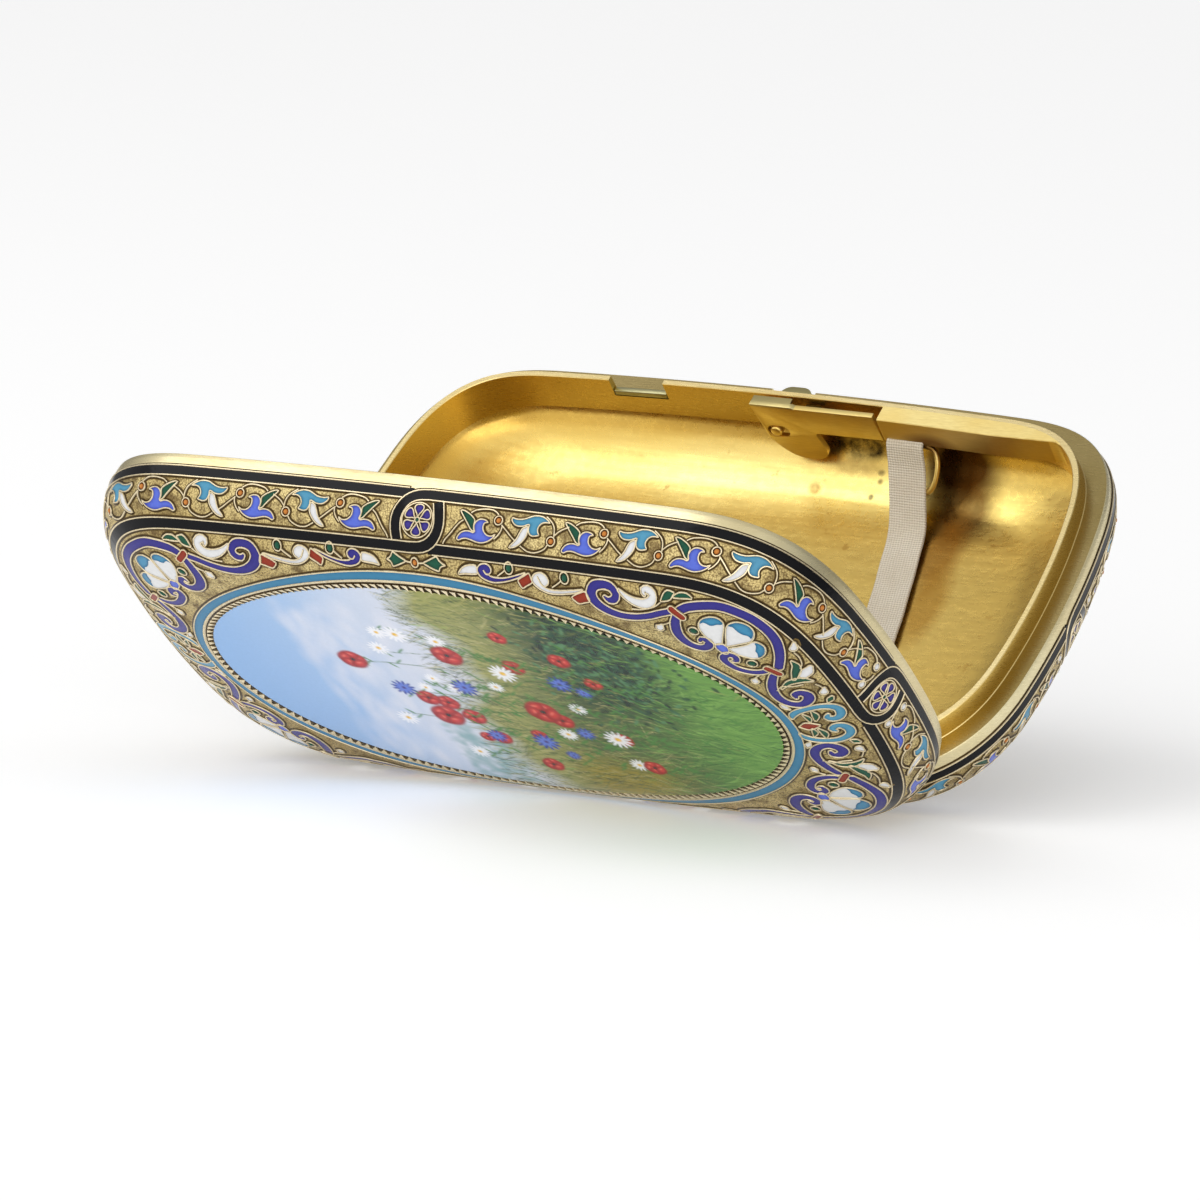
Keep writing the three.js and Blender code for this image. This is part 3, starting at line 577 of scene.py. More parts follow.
def spline(points, pitch=0.33, closed=False):
    p = np.array(points, float)
    if closed:
        p = np.concatenate([p[-1:], p, p[:2]])
    else:
        p = np.concatenate([p[:1] * 2 - p[1:2], p, p[-1:] * 2 - p[-2:-1]])
    out = []
    for k in range(1, len(p) - 2):
        span = np.hypot(*(p[k + 1, :2] - p[k, :2]))
        steps = max(2, int(round(span / pitch)))
        w = np.arange(steps)[:, None] / steps
        p0, p1, p2, p3 = p[k - 1], p[k], p[k + 1], p[k + 2]
        out.append(0.5 * (2 * p1 + (p2 - p0) * w + (2 * p0 - 5 * p1 + 4 * p2 - p3) * w ** 2
                          + (3 * p1 - p0 - 3 * p2 + p3) * w ** 3))
    if not closed:
        out.append(p[-2:-1])
    return np.concatenate(out)


def sideways(path, closed):
    if closed:
        run = np.roll(path, -1, 0) - np.roll(path, 1, 0)
    else:
        run = np.gradient(path, axis=0)
    size = np.maximum(np.hypot(run[:, 0], run[:, 1]), 1e-9)
    return np.stack([-run[:, 1] / size, run[:, 0] / size], 1)


# a closed outline filled with near-even triangles; each point also gets its depth from the edge
def fillOutline(outline):
    edge = spline(outline, cellForm["pitch"], True)
    count = len(edge)
    low, high, step = edge.min(0), edge.max(0), cellForm["grid"]
    across, up = (np.arange(low[k] + 0.1, high[k], step) for k in (0, 1))
    grid = np.stack(np.meshgrid(across, up), -1).reshape(-1, 2)

    def depthOf(points):
        a, b = edge, np.roll(edge, -1, 0)
        run = b - a
        along = ((points[:, None] - a) * run).sum(2) / np.maximum((run ** 2).sum(1), 1e-12)
        near = a + run * np.clip(along, 0, 1)[..., None]
        return np.hypot(*(points[:, None] - near).transpose(2, 0, 1)).min(1)

    ahead = np.roll(edge, -1, 0)
    above = (edge[:, 1] > grid[:, 1:]) != (ahead[:, 1] > grid[:, 1:])
    rise = np.where(ahead[:, 1] == edge[:, 1], 1e-9, ahead[:, 1] - edge[:, 1])
    crossing = (ahead[:, 0] - edge[:, 0]) * (grid[:, 1:] - edge[:, 1]) / rise + edge[:, 0]
    inside = (above & (grid[:, :1] < crossing)).sum(1) % 2 == 1
    grid = grid[inside]
    if len(grid):
        grid = grid[depthOf(grid) > cellForm["clear"]]
    every = [Vector(p) for p in np.concatenate([edge, grid]).tolist()]
    flat, _, faces, came, _, _ = delaunay_2d_cdt(every, [], [list(range(count))], 1, 1e-6)
    flat = np.array([list(p) for p in flat])
    place = {start: k for k, starts in enumerate(came) for start in starts}
    rim = [place[k] for k in range(count)]
    return edge, flat, faces, rim, np.clip(depthOf(flat) / cellForm["fall"], 0, 1)


# faces between rings of points, the last ring joined to the first one
def ringFaces(rows, count):
    faces = []
    for row in range(rows):
        low, high = row * count, (row + 1) % rows * count
        faces += [[low + k, low + (k + 1) % count, high + (k + 1) % count, high + k] for k in range(count)]
    return faces


# the faces between a closed edge and its foot, whose points follow from low on
def wallFaces(edge, low):
    count = len(edge)
    return [[edge[k], low + k, low + (k + 1) % count, edge[(k + 1) % count]] for k in range(count)]


# takes up the cells and wires of one pattern, and bends them over a half at the end
class CellTray:
    def __init__(self, mapping):
        self.mapping = mapping
        self.parts = {"cells": [], "wires": []}
        self.plans = {}

    def sweep(self, kind, path, offsets, lifts, colours, closed):
        across = sideways(path, closed)
        count, ring = len(path), offsets.shape[1]
        flat = path[:, None, :] + across[:, None, :] * offsets[:, :, None]
        lifts = np.broadcast_to(lifts, (count, ring))
        points = np.concatenate([flat, lifts[:, :, None]], 2).reshape(-1, 3)
        rows = np.arange(count if closed else count - 1)[:, None]
        k = np.arange(ring)[None, :]
        a, b = rows * ring + k, rows * ring + (k + 1) % ring
        step = ring * ((rows + 1) % count - rows)
        faces = np.stack([a, b, b + step, a + step], 2).reshape(-1, 4).tolist()
        if not closed:
            faces += [list(range(ring))[::-1], list(range((count - 1) * ring, count * ring))]
        shades = np.broadcast_to(colours, (count, ring, 3)).reshape(-1, 3)
        self.parts[kind].append((points, faces, shades))

    def wire(self, points, closed=False, half=wireForm["half"], raw=False, rise=0.0):
        path = np.array(points, float) if raw else spline(points, wireForm["pitch"], closed)
        reach, lifts = np.array(wireForm["section"]).T
        lifts[-1] += rise
        dark, bright, ground = (np.array(wireForm[key]) for key in ("dark", "bright", "ground"))
        # painted shade: from the ground colour the skirts darken to dark brown at the wire's foot, with the patina
        # there, and the top stays bright
        shades = [ground, dark * 0.7 + ground * 0.3, dark, bright]
        offsets = np.tile(np.concatenate([reach, -reach[::-1]]) * half, (len(path), 1))
        lifts = np.concatenate([lifts, lifts[::-1]])
        self.sweep("wires", path[:, :2], offsets, lifts, np.array(shades + shades[::-1]), closed)

    # a long cell along a path that gives a width at each point
    def stroke(self, glaze, points, closed=False, pitch=0.33, outline=True, rounded=True, rise=0.0):
        path = spline(points, pitch, closed)
        if rounded and not closed:
            path = np.concatenate([roundEnd(path[::-1])[::-1], path, roundEnd(path)])
        centre, half = path[:, :2], np.maximum(path[:, 2] / 2, cellForm["thinnest"])
        share = np.array([-1, -1, -0.55, 0, 0.55, 1, 1.0])
        low, edge, middle = cellForm["foot"], cellForm["edge"], cellForm["middle"]
        slope = (edge + middle) / 2
        lifts = np.array([low, edge, slope, middle, slope, edge, low]) + rise
        outer, inner = (np.array(shade) for shade in glazes[glaze])
        mixes = np.array([0, 0, 0.7, 1, 0.7, 0, 0])[:, None]
        shades = outer * (1 - mixes) + inner * mixes
        self.sweep("cells", centre, half[:, None] * share[None, :], lifts, shades, closed)
        if outline:
            across = sideways(centre, closed)
            left, right = centre + across * half[:, None], centre - across * half[:, None]
            for side in [left, right] if closed else [np.concatenate([left, right[::-1]])]:
                self.wire(side, True, raw=True, rise=rise)

    # a cell of any outline; one name is filled once and then laid down at each place
    def cell(self, glaze, name, outline, turn, wired=True, rise=0.0):
        if name not in self.plans:
            self.plans[name] = fillOutline(outline)
        edge, flat, faces, rim, depth = self.plans[name]
        top = cellForm["edge"] - (cellForm["edge"] - cellForm["middle"]) * depth
        outer, inner = (np.array(shade) for shade in glazes[glaze])
        shades = outer * (1 - depth[:, None]) + inner * depth[:, None]
        points = np.column_stack([turn(flat), top + rise])
        foot = np.column_stack([points[rim, :2], np.full(len(rim), cellForm["foot"])])
        low, count = len(flat), len(rim)
        faces = [list(face) for face in faces] + wallFaces(rim, low)
        faces.append([low + k for k in range(count)][::-1])
        shades = np.concatenate([shades, shades[rim]])
        self.parts["cells"].append((np.concatenate([points, foot]), faces, shades))
        if wired:
            self.wire(turn(edge), True, raw=True)

    def berry(self, x, y, radius, glaze="green", ring=0.2):
        count, rings = cellForm["berrySides"], cellForm["berryRings"]
        angles = np.arange(count) * 2 * math.pi / count
        outer, inner = (np.array(shade) for shade in glazes[glaze])
        points = [(x + radius * share * math.cos(a), y + radius * share * math.sin(a), lift)
                  for share, lift, tone in rings for a in angles]
        colours = [outer * (1 - tone) + inner * tone for share, lift, tone in rings for a in angles]
        faces = ringFaces(len(rings), count)[:-count]
        faces += [list(range(count))[::-1], list(range(len(points) - count, len(points)))]
        self.parts["cells"].append((np.array(points), faces, np.array(colours)))
        circle = [(x + (radius + ring) * math.cos(a), y + (radius + ring) * math.sin(a)) for a in angles]
        self.wire(circle, True, raw=True)

    def collect(self, kind, half):
        points, faces, colours, base = [], [], [], 0
        for part, partFaces, shades in self.parts[kind]:
            points.append(part)
            faces += [[base + k for k in face] for face in partFaces]
            colours.append(shades)
            base += len(part)
        return toWorld(self.mapping(np.concatenate(points)), half), faces, np.concatenate(colours)


# three more points that round off the end of a path
def roundEnd(path):
    end, before = path[-1], path[-2]
    half = end[2] / 2
    if half < 0.12:
        return path[:0]
    run = (end - before)[:2]
    run = run / max(np.hypot(*run), 1e-9)
    turns = [math.radians(a) for a in (30, 58, 80)]
    return np.array([[*(end[:2] + run * half * math.sin(a)), 2 * half * math.cos(a)] for a in turns])


# the running border of the side wall: flower sprays between two black lines

borderForm = {"upper": 2.73, "lower": 9.7, "lineWidth": 1.45, "slip": 0.37, "lineStart": 1.6, "lineStop": 1.7,
              "innerStop": 0.75, "outerStop": 0.1, "lineSteps": 60,
              "rosette": 1.08, "rosetteRing": 2.24, "rosetteLevel": 6.15,
              "berries": [11.7, 19.6, 26.9, 35.0, 42.4, 50.3, 58.2, 65.8, 72.3], "berry": 0.37, "drop": 0.42,
              "drops": [(2 / 16, 74 / 16), (3 / 16, 121 / 16)], "spinePlaces": 5}
waveForm = {"pitch": 4.4, "count": 9, "level": 7.3, "swing": 0.75, "leaf": 0.9, "leafLift": 0.55,
            "leafWidth": 0.85}


# these outlines are drawn on a grid of sixteen to the millimetre, along the border from the spray's own
# berry and down from the rim
def sixteenths(points):
    return [(x / 16, y / 16) for x, y in points]


# the two sprays: body and leaf with their glazes, the height of the berry, and three stems
bluebell = {
    "name": "blue", "glazes": ("peri", "green"), "berry": 81 / 16,
    "body": sixteenths([(-90, 126), (-86, 118), (-80, 112.5), (-72, 109.5), (-62, 109), (-54, 111),
        (-50.5, 108), (-53, 102), (-53.5, 96), (-51.5, 90), (-47, 85), (-41, 82.5), (-34, 82.5), (-28, 84),
        (-23, 87.5), (-29, 88.5), (-32, 92), (-32.5, 98), (-31, 104), (-27, 109), (-22, 112.5), (-16, 114),
        (-9, 113.5), (-2, 109.5), (-6, 116), (-12, 121.5), (-20, 126), (-30, 129), (-40, 129.3),
        (-50, 127.5), (-58, 125.5), (-68, 124), (-78, 125.5), (-85, 129)]),
    "leaf": sixteenths([(-91, 69), (-82, 69), (-72, 73), (-62, 78.5), (-54, 86), (-54.5, 94), (-53.5, 102),
        (-52, 108), (-59, 106), (-66, 98), (-74, 89), (-82, 80)]),
    "stems": [
        sixteenths([(-66, 72), (-58, 66), (-46, 62.5), (-32, 60.5), (-18, 61), (-8, 65), (-2, 70)]),
        sixteenths([(11, 90), (10, 100), (4, 111), (-4, 119)]),
        sixteenths([(9, 89), (24, 101), (36, 111), (46, 118)]),
    ],
}
turquoiseBell = {
    "name": "turquoise", "glazes": ("turq", "white"), "berry": 110 / 16,
    "body": sixteenths([(-96, 72), (-88, 73.5), (-78, 73.5), (-68, 71.5), (-59, 67.5), (-50, 63.5),
        (-42, 62), (-32, 62), (-23, 64.5), (-15, 69), (-9, 74), (-16, 73.5), (-23, 74.5), (-29, 78),
        (-33, 84), (-34, 90), (-32, 96), (-29, 100.5), (-34, 102.5), (-42, 104), (-49, 102), (-53, 97),
        (-55, 90), (-54.5, 82), (-60, 83), (-68, 86.5), (-78, 87.5), (-86, 86), (-92, 82), (-96, 77)]),
    "leaf": sixteenths([(-65, 89), (-57, 86), (-56, 98), (-58, 107), (-64, 116), (-72, 124), (-82, 130),
        (-94, 132), (-88, 124), (-82, 118), (-77, 110), (-73, 100), (-69, 92)]),
    "stems": [
        sixteenths([(-7, 118), (-12, 126), (-24, 133), (-38, 136.5), (-52, 135), (-62, 130), (-69, 126)]),
        sixteenths([(6, 101), (4, 86), (-1, 76), (-10, 68), (-20, 61.5)]),
        sixteenths([(7, 97), (16, 88), (26, 82), (36, 77)]),
    ],
}
firstStem = sixteenths([(-80, 88), (-88, 94), (-96, 104), (-106, 118), (-118, 132), (-122, 140)])
# the loops with which the black lines start, from the middle of the rosette, and one petal of it
loopLine = [(-2.75, 8.85), (-3.05, 7.5), (-3.15, 6.1), (-2.85, 4.9), (-2.1, 3.7), (-0.8, 2.95), (0.95, 2.73)]
loopUnder = [(2.5, 3.6), (2.95, 5.0), (3.2, 6.4), (2.95, 7.7), (2.15, 8.8), (0.85, 9.5), (-0.95, 9.7)]
petal = [(0.42, 0), (0.75, -0.21), (1.1, -0.49), (1.45, -0.62), (1.75, -0.47), (1.87, 0), (1.75, 0.47),
         (1.45, 0.62), (1.1, 0.49), (0.75, 0.21)]


def addSpray(tray, origin, side, distance, index, last):
    f = borderForm
    spray = turquoiseBell if index % 2 else bluebell

    def turn(points):
        return np.array([(origin + side * (distance + x), y) for x, y in points])
    for part, glaze in zip(("body", "leaf"), spray["glazes"]):
        tray.cell(glaze, spray["name"] + part, spray[part], turn)
    for stem in spray["stems"][:2] if last else spray["stems"]:
        tray.wire(turn(stem))
    if index == 0:
        tray.wire(turn(firstStem))
    if last:
        for x, y in turn(f["drops"]):
            tray.berry(x, y, f["drop"], "white", 0.12)
    else:
        x, y = turn([(0, spray["berry"])])[0]
        tray.berry(x, y, f["berry"], "orange", 0.21)


def addCartouche(tray, origin):
    level, grow, ring = (borderForm[key] for key in ("rosetteLevel", "rosette", "rosetteRing"))
    for k in range(6):
        angle = math.radians(30 + 60 * k)
        tray.cell("violet", "petal", petal, placed(origin, level, angle, grow))
    tray.wire([(origin + x, level + y) for x, y in oval(ring, ring, 16)], True)
    tray.berry(origin, level, 0.24, "green", 0.1)


# the two black lines; each starts as a loop round the rosette and runs on to the next one
def addLines(tray):
    f = borderForm
    width = f["lineWidth"]
    stops = [-shortMiddle, 0, shortMiddle, girth - shortMiddle]
    for low, high in zip(stops, stops[1:]):
        low, high = low + f["slip"], high + f["slip"]
        for side, level, loop, start, stop in ((1, f["upper"], loopLine, low, high),
                                               (-1, f["lower"], loopUnder, high, low)):
            far = stop - side * f["lineStop"]
            run = np.linspace(start + side * f["lineStart"], far, f["lineSteps"])
            path = [(start + x, y, width) for x, y in loop] + [(u, level, width) for u in run]
            tray.stroke("black", path, pitch=0.6, outline=False, rounded=False)
            centre = spline(path, 0.6)[:, :2]
            across = sideways(centre, False)
            for reach in (width / 2, -width / 2):
                outward = centre + across * reach
                inner = np.sign(outward[-1, 1] - centre[-1, 1]) == side
                limit = far - side * f["innerStop" if inner else "outerStop"]
                tray.wire(outward[centre[:, 0] * side < limit * side], raw=True)


def addBorder(tray):
    f = borderForm
    addLines(tray)
    for origin in (0, shortMiddle, -shortMiddle):
        addCartouche(tray, origin + f["slip"])
    last = len(f["berries"]) - 1
    for side in (1, -1):
        for k, distance in enumerate(f["berries"]):
            addSpray(tray, f["slip"], side, distance, k, k == last)
            if k >= f["spinePlaces"]:
                addSpray(tray, hingeMiddle, side, distance, k, k == last)
    addWave(tray)


# the strip that is left beside the spine carries a plain wave with small leaves
def addWave(tray):
    f = waveForm
    reach = f["leaf"]
    waves = hingeMiddle + np.arange(-f["count"], f["count"] + 1) * f["pitch"]
    tray.wire([(u, f["level"] + (f["swing"] if k % 2 else -f["swing"])) for k, u in enumerate(waves)])
    for k, u in enumerate(waves[1:-1]):
        lift = f["leafLift"] if k % 2 else -f["leafLift"]
        low, middle = f["level"] - lift, f["level"] - lift * 1.2
        tray.stroke("turq" if k % 2 else "peri",
                    [(u - reach, low, 0.15), (u, middle, f["leafWidth"]), (u + reach, low, 0.15)])


# the scrolls of the main face, drawn for one quarter

# glaze and path of each scroll, with its width at each point, in millimetres from the middle of the face
cornerStrokes = [
    ("cobalt", [(37.77, 25.29, 1.04), (38.92, 25.69, 1.08), (41.0, 25.79, 1.08), (43.08, 25.5, 1.08),
                (44.96, 24.46, 1.12), (46.62, 22.94, 1.12), (47.77, 20.96, 1.12), (48.25, 19.08, 1.12),
                (48.21, 17.42, 1.12), (47.77, 15.54, 1.08), (46.94, 13.56, 1.04)]),
    ("cobalt", [(36.21, 25.02, 0.79), (34.75, 24.67, 0.83), (33.08, 24.15, 0.88), (31.0, 23.75, 0.94),
                (29.12, 23.79, 1.04), (27.46, 24.29, 1.15), (26.1, 25.23, 1.25), (25.48, 26.38, 1.29),
                (25.9, 27.42, 1.08), (27.04, 27.77, 0.88), (28.4, 27.58, 0.88), (29.02, 26.79, 0.96),
                (28.6, 26.1, 0.88), (27.83, 25.96, 0.71), (27.35, 26.33, 0.38)]),
    ("cobalt", [(36.88, 24.19, 1.0), (36.38, 22.94, 1.21), (36.12, 21.17, 1.33), (36.52, 19.71, 1.29),
                (37.35, 18.71, 1.21), (38.5, 18.35, 1.17), (39.54, 18.88, 1.08), (39.71, 19.81, 0.96),
                (39.02, 20.23, 0.79), (38.6, 19.71, 0.38)]),
    ("cobalt", [(44.96, 13.0, 0.83), (43.92, 12.88, 0.88), (42.67, 13.15, 0.92), (41.52, 13.83, 0.96),
                (40.79, 14.81, 1.0), (40.48, 15.75, 1.04), (40.79, 16.58, 1.0), (41.52, 16.9, 0.96),
                (42.21, 16.38, 0.88), (42.04, 15.54, 0.71), (41.52, 15.54, 0.38)]),
    ("cobalt", [(45.69, 11.96, 0.94), (44.92, 10.44, 1.08), (44.44, 8.88, 1.17), (44.38, 7.42, 1.21),
                (44.85, 6.17, 1.17), (45.79, 5.33, 1.12), (47.04, 5.17, 1.17), (48.08, 5.96, 1.25),
                (48.29, 7.0, 1.25), (47.56, 7.62, 1.12), (46.79, 7.31, 0.92), (46.73, 6.69, 0.5)]),
    ("red", [(36.65, 25.45, 0.8), (37.8, 24.28, 0.8)]),
    ("red", [(45.5, 13.75, 0.8), (46.6, 12.35, 0.8)]),
    ("white", [(34.36, 22.62, 0.3), (34.02, 22.25, 0.95), (33.82, 22.0, 0.75)]),
    ("white", [(43.08, 11.4, 0.3), (42.9, 11.05, 0.92), (42.8, 10.8, 0.75)]),
    ("white", [(44.1, 5.35, 0.17), (44.4, 4.8, 0.75), (44.9, 4.2, 0.17)]),
    ("white", [(50.1, 17.42, 0.33), (49.8, 16.58, 0.83)]),
    ("white", [(50.42, 12.31, 0.62), (49.9, 11.69, 1.3), (49.23, 11.06, 1.0)]),
    ("white", [(50.6, 7.62, 0.29), (50.32, 6.9, 0.88)]),
    ("white", [(29.54, 27.3, 0.25), (30.58, 26.52, 0.62), (31.83, 26.0, 0.92), (33.08, 25.9, 1.08),
               (34.02, 26.4, 1.0), (34.29, 27.2, 0.88), (33.67, 27.62, 0.75), (32.98, 27.5, 0.62),
               (33.12, 27.05, 0.33)]),
    ("green", [(35.48, 26.5, 0.17), (36.1, 26.9, 0.79), (36.67, 27.25, 0.85), (37.21, 27.4, 0.21)]),
    ("green", [(37.29, 27.0, 0.17), (38.08, 27.15, 0.55), (39.02, 27.1, 0.5), (39.71, 26.8, 0.12)]),
    ("green", [(48.81, 14.29, 0.17), (49.02, 13.25, 0.79), (48.6, 12.0, 0.96), (47.88, 10.75, 0.42)]),
    ("green", [(45.69, 8.98, 0.17), (47.04, 10.08, 0.71), (48.71, 10.23, 0.79), (49.85, 9.6, 0.17)]),
    ("green", [(50.1, 4.7, 0.17), (50.5, 5.15, 0.7), (50.8, 5.5, 0.42)]),
    ("turq", [(44.45, 2.1, 0.35), (44.75, 2.8, 0.8), (45.55, 3.45, 0.88), (47.0, 3.92, 0.82),
              (48.6, 4.1, 0.86), (49.9, 3.75, 0.94), (50.65, 3.05, 1.0), (50.75, 2.05, 1.04),
              (50.28, 1.2, 1.0), (49.44, 1.0, 0.94), (48.85, 1.55, 0.8), (49.15, 2.05, 0.46)]),
    ("green", [(47.46, 3.31, 0.17), (47.62, 2.27, 0.75), (47.25, 1.23, 0.25)]),
    ("green", [(46.1, 2.69, 0.17), (46.52, 1.85, 0.62), (46.46, 1.12, 0.25)]),
]
# outlines on a grid of twelve to the millimetre, which counts down from the top
gridForm = {"middleX": 658, "middleY": 389, "perMillimetre": 12}


def fromGrid(outline):
    middleX, middleY, scale = gridForm.values()
    return [((x - middleX) / scale, (middleY - y) / scale) for x, y in outline]


cornerCells = {
    "petalOne": ("white", [(1150, 160), (1143, 158), (1138, 148), (1133, 134), (1131, 122), (1133, 112),
        (1139, 104), (1147, 100), (1156, 99), (1164, 101), (1170, 106), (1173, 113), (1171, 122),
        (1166, 134), (1161, 146), (1156, 157)]),
    "petalTwo": ("white", [(1160, 165), (1163, 156), (1167, 142), (1171, 130), (1175, 121), (1181, 115.5),
        (1189, 113.5), (1197, 115), (1205, 120), (1211, 128), (1213, 137), (1211, 146), (1207, 153),
        (1201, 158), (1192, 160), (1180, 162), (1170, 164)]),
    "petalThree": ("white", [(1163, 170), (1172, 168), (1184, 166), (1196, 163), (1202, 159.5), (1208, 160),
        (1214, 165), (1218, 173), (1217, 182), (1213, 190), (1206, 196), (1198, 199), (1190, 198),
        (1181, 193), (1173, 188), (1167, 181), (1163, 175)]),
    "petalFoot": ("peri", [(1144, 161), (1150, 158), (1157, 160), (1161, 166), (1161, 174), (1158, 181),
        (1154, 184), (1149, 183), (1145, 177), (1142, 169)]),
    "fish": ("green", [(674, 51), (682, 47.5), (690, 44), (698, 41.5), (702, 46), (708, 49.5), (713, 51),
        (706, 53), (702, 56), (700, 60), (692, 58.5), (682, 55)]),
    "crescent": ("white", [(734, 60.5), (739, 54), (746, 49.5), (756, 47), (766, 47), (768, 52),
        (768, 57.5), (758, 59), (746, 59.5), (739, 60.5)]),
    "hook": ("cobalt", [(768.5, 53), (770.5, 48), (776, 44.5), (783, 43.5), (789, 45), (793, 49), (792, 54),
        (788, 57.5), (796, 60), (810, 60), (826, 57), (842, 52.5), (853, 50), (842, 56.5), (826, 62),
        (810, 66), (794, 68), (780, 65), (772, 60)]),
    "rhomb": ("red", [(839, 60), (850, 54), (859, 50), (862, 57), (863, 62), (852, 68), (844, 72),
        (840, 66)]),
    "curl": ("white", [(863, 58), (866, 52), (873, 48.5), (881, 48), (888, 51), (892, 57), (890, 63),
        (884, 67), (894, 70), (908, 70), (922, 68.5), (936, 67), (950, 65.5), (938, 71), (922, 74),
        (908, 76), (894, 76.5), (882, 74), (872, 69), (865, 63)]),
    "rhombTwo": ("red", [(928, 79), (935, 74), (945, 70), (953, 68), (957, 75), (958, 83), (949, 86),
        (938, 89), (932, 85)]),
}
petalCaps = {
    "capOne": [(1135.5, 111.5), (1140, 105), (1147, 102), (1156, 101), (1164, 103), (1169.5, 108),
        (1171.5, 114), (1168, 116), (1162, 115), (1156, 116.5), (1150, 116), (1146, 112), (1141, 109.5)],
    "capTwo": [(1178, 119.5), (1184, 116.5), (1191, 115.5), (1198, 117.5), (1205, 122), (1209.5, 129.5),
        (1211, 138), (1208.5, 146.5), (1204, 152), (1203, 148), (1200, 144), (1195, 141), (1190, 135),
        (1187, 129), (1184, 122.5)],
    "capThree": [(1205.5, 164), (1209.5, 163.5), (1213.5, 168), (1216, 175), (1214.5, 183), (1211, 189.5),
        (1205.5, 194.5), (1200.5, 196.5), (1201, 192), (1202, 186), (1201, 181), (1204, 174), (1206, 168)],
}
cornerBerries = [(38.5, 21.79, 0.5), (43.92, 14.88, 0.5), (13.83, 28.55, 0.42), (21.83, 28.08, 0.42)]
cornerStems = [
    [(12.1, 27.6), (12.8, 28.0), (13.25, 28.3)],
    [(19.9, 26.9), (20.8, 27.4), (21.25, 27.7)],
    [(10.85, 27.65), (10.4, 27.7), (10.1, 28.1)],
    [(18.85, 26.8), (18.4, 27.1), (18.1, 27.6), (17.9, 28.0)],
    [(0.55, 28.08), (0.9, 28.1), (1.3, 28.15)],
    [(35.9, 23.4), (35.2, 23.0), (34.6, 22.8)],
    [(43.9, 12.2), (43.4, 11.9), (43.15, 11.6)],
    [(49.6, 15.9), (49.9, 14.8), (49.8, 13.4), (49.3, 12.6)],
    [(44.9, 8.6), (45.8, 9.4), (47.2, 9.2), (48.6, 9.3)],
    [(30.9, 25.0), (32.4, 25.1), (34.2, 25.6), (35.3, 26.3)],
    [(49.9, 8.9), (50.3, 8.3), (50.5, 7.8)],
]
faceForm = {
    "swell": 1.12, "spread": 0.08, "tieRise": 0.12, "capRise": 0.03, "ringSteps": 260,
    "ties": [(44.7, 0.3), (45.5, 1.6), (46.4, 1.3), (47.4, 0.2)], "endBerry": (28.08, 0.33),
    "tuck": 0.35, "tuckFrom": 30,  # the lower ends stand this much nearer to the middle
    "drift": 1.2, "driftX": (2, 8), "driftY": (13.5, 20), "driftEnd": (45.5, 49), "endShare": 0.45,
}
ovalForm = {"ringLong": 43.45, "ringWide": 26.05, "ringWidth": 1.36, "plaqueLong": 41.3, "plaqueWide": 24.0,
            "borderLong": 41.98, "borderWide": 24.62, "borderWidth": 1.38, "borderSteps": 300, "teeth": 178,
            "toothReach": 0.56, "toothRoot": 0.2}


def placed(x, y, angle, size):
    c, s = math.cos(angle) * size, math.sin(angle) * size
    return lambda points: np.array([(x + p[0] * c - p[1] * s, y + p[0] * s + p[1] * c) for p in points])


def oval(long, wide, count):
    angles = np.arange(count) * 2 * math.pi / count
    return np.stack([long * np.cos(angles), wide * np.sin(angles)], 1)


def evenOval(long, wide, count):
    fine = oval(long, wide, 4000)
    fine = np.concatenate([fine, fine[:1]])
    arc = np.concatenate([[0], np.cumsum(np.hypot(*(fine[1:] - fine[:-1]).T))])
    at = np.arange(count) * arc[-1] / count
    return np.stack([np.interp(at, arc, fine[:, k]) for k in (0, 1)], 1)


def ease(value, low, high):
    share = np.clip((value - low) / (high - low), 0, 1)
    return share * share * (3 - 2 * share)


# one quarter of the scrolls, mirrored four ways round the ring
def addFace(tray):
    f, o = faceForm, ovalForm
    for signX, signY in ((1, 1), (-1, 1), (-1, -1), (1, -1)):
        tuck = f["tuck"] if signY < 0 else 0
        drift = f["drift"] if signX > 0 and signY > 0 else 0  # this corner was laid out nearer to the middle

        def turn(points):
            p = np.array([tuple(q) for q in points], float)
            away = tuck * (p[:, 0] > f["tuckFrom"])
            far = 1 - f["endShare"] * ease(p[:, 0], *f["driftEnd"])
            nearer = drift * (ease(p[:, 0], *f["driftX"]) * ease(p[:, 1], *f["driftY"]) * far)
            p[:, 0] = signX * (p[:, 0] - away - nearer)
            p[:, 1] = signY * (p[:, 1] - away)
            return p
        for glaze, stroke in cornerStrokes:
            path = turn([(x, y, width * f["swell"] + f["spread"]) for x, y, width in stroke])
            tray.stroke(glaze, path, rise=f["tieRise"] if glaze == "red" else 0)
        for name, (glaze, outline) in cornerCells.items():
            tray.cell(glaze, name, fromGrid(outline), turn)
        for name, outline in petalCaps.items():
            tray.cell("cap", name, fromGrid(outline), turn, False, f["capRise"])
        for x, y, radius in cornerBerries:
            left, up = turn([(x, y)])[0]
            tray.berry(left, up, radius)
        for stem in cornerStems:
            tray.wire(turn(stem))
    height, radius = f["endBerry"]
    for side in (1, -1):
        tray.stroke("red", [(side * x, 0, width) for x, width in f["ties"]])
        tray.berry(0, side * height, radius, "orange")
    ring = [(x, y, o["ringWidth"]) for x, y in evenOval(o["ringLong"], o["ringWide"], f["ringSteps"])]
    tray.stroke("ring", ring, True, pitch=0.9)


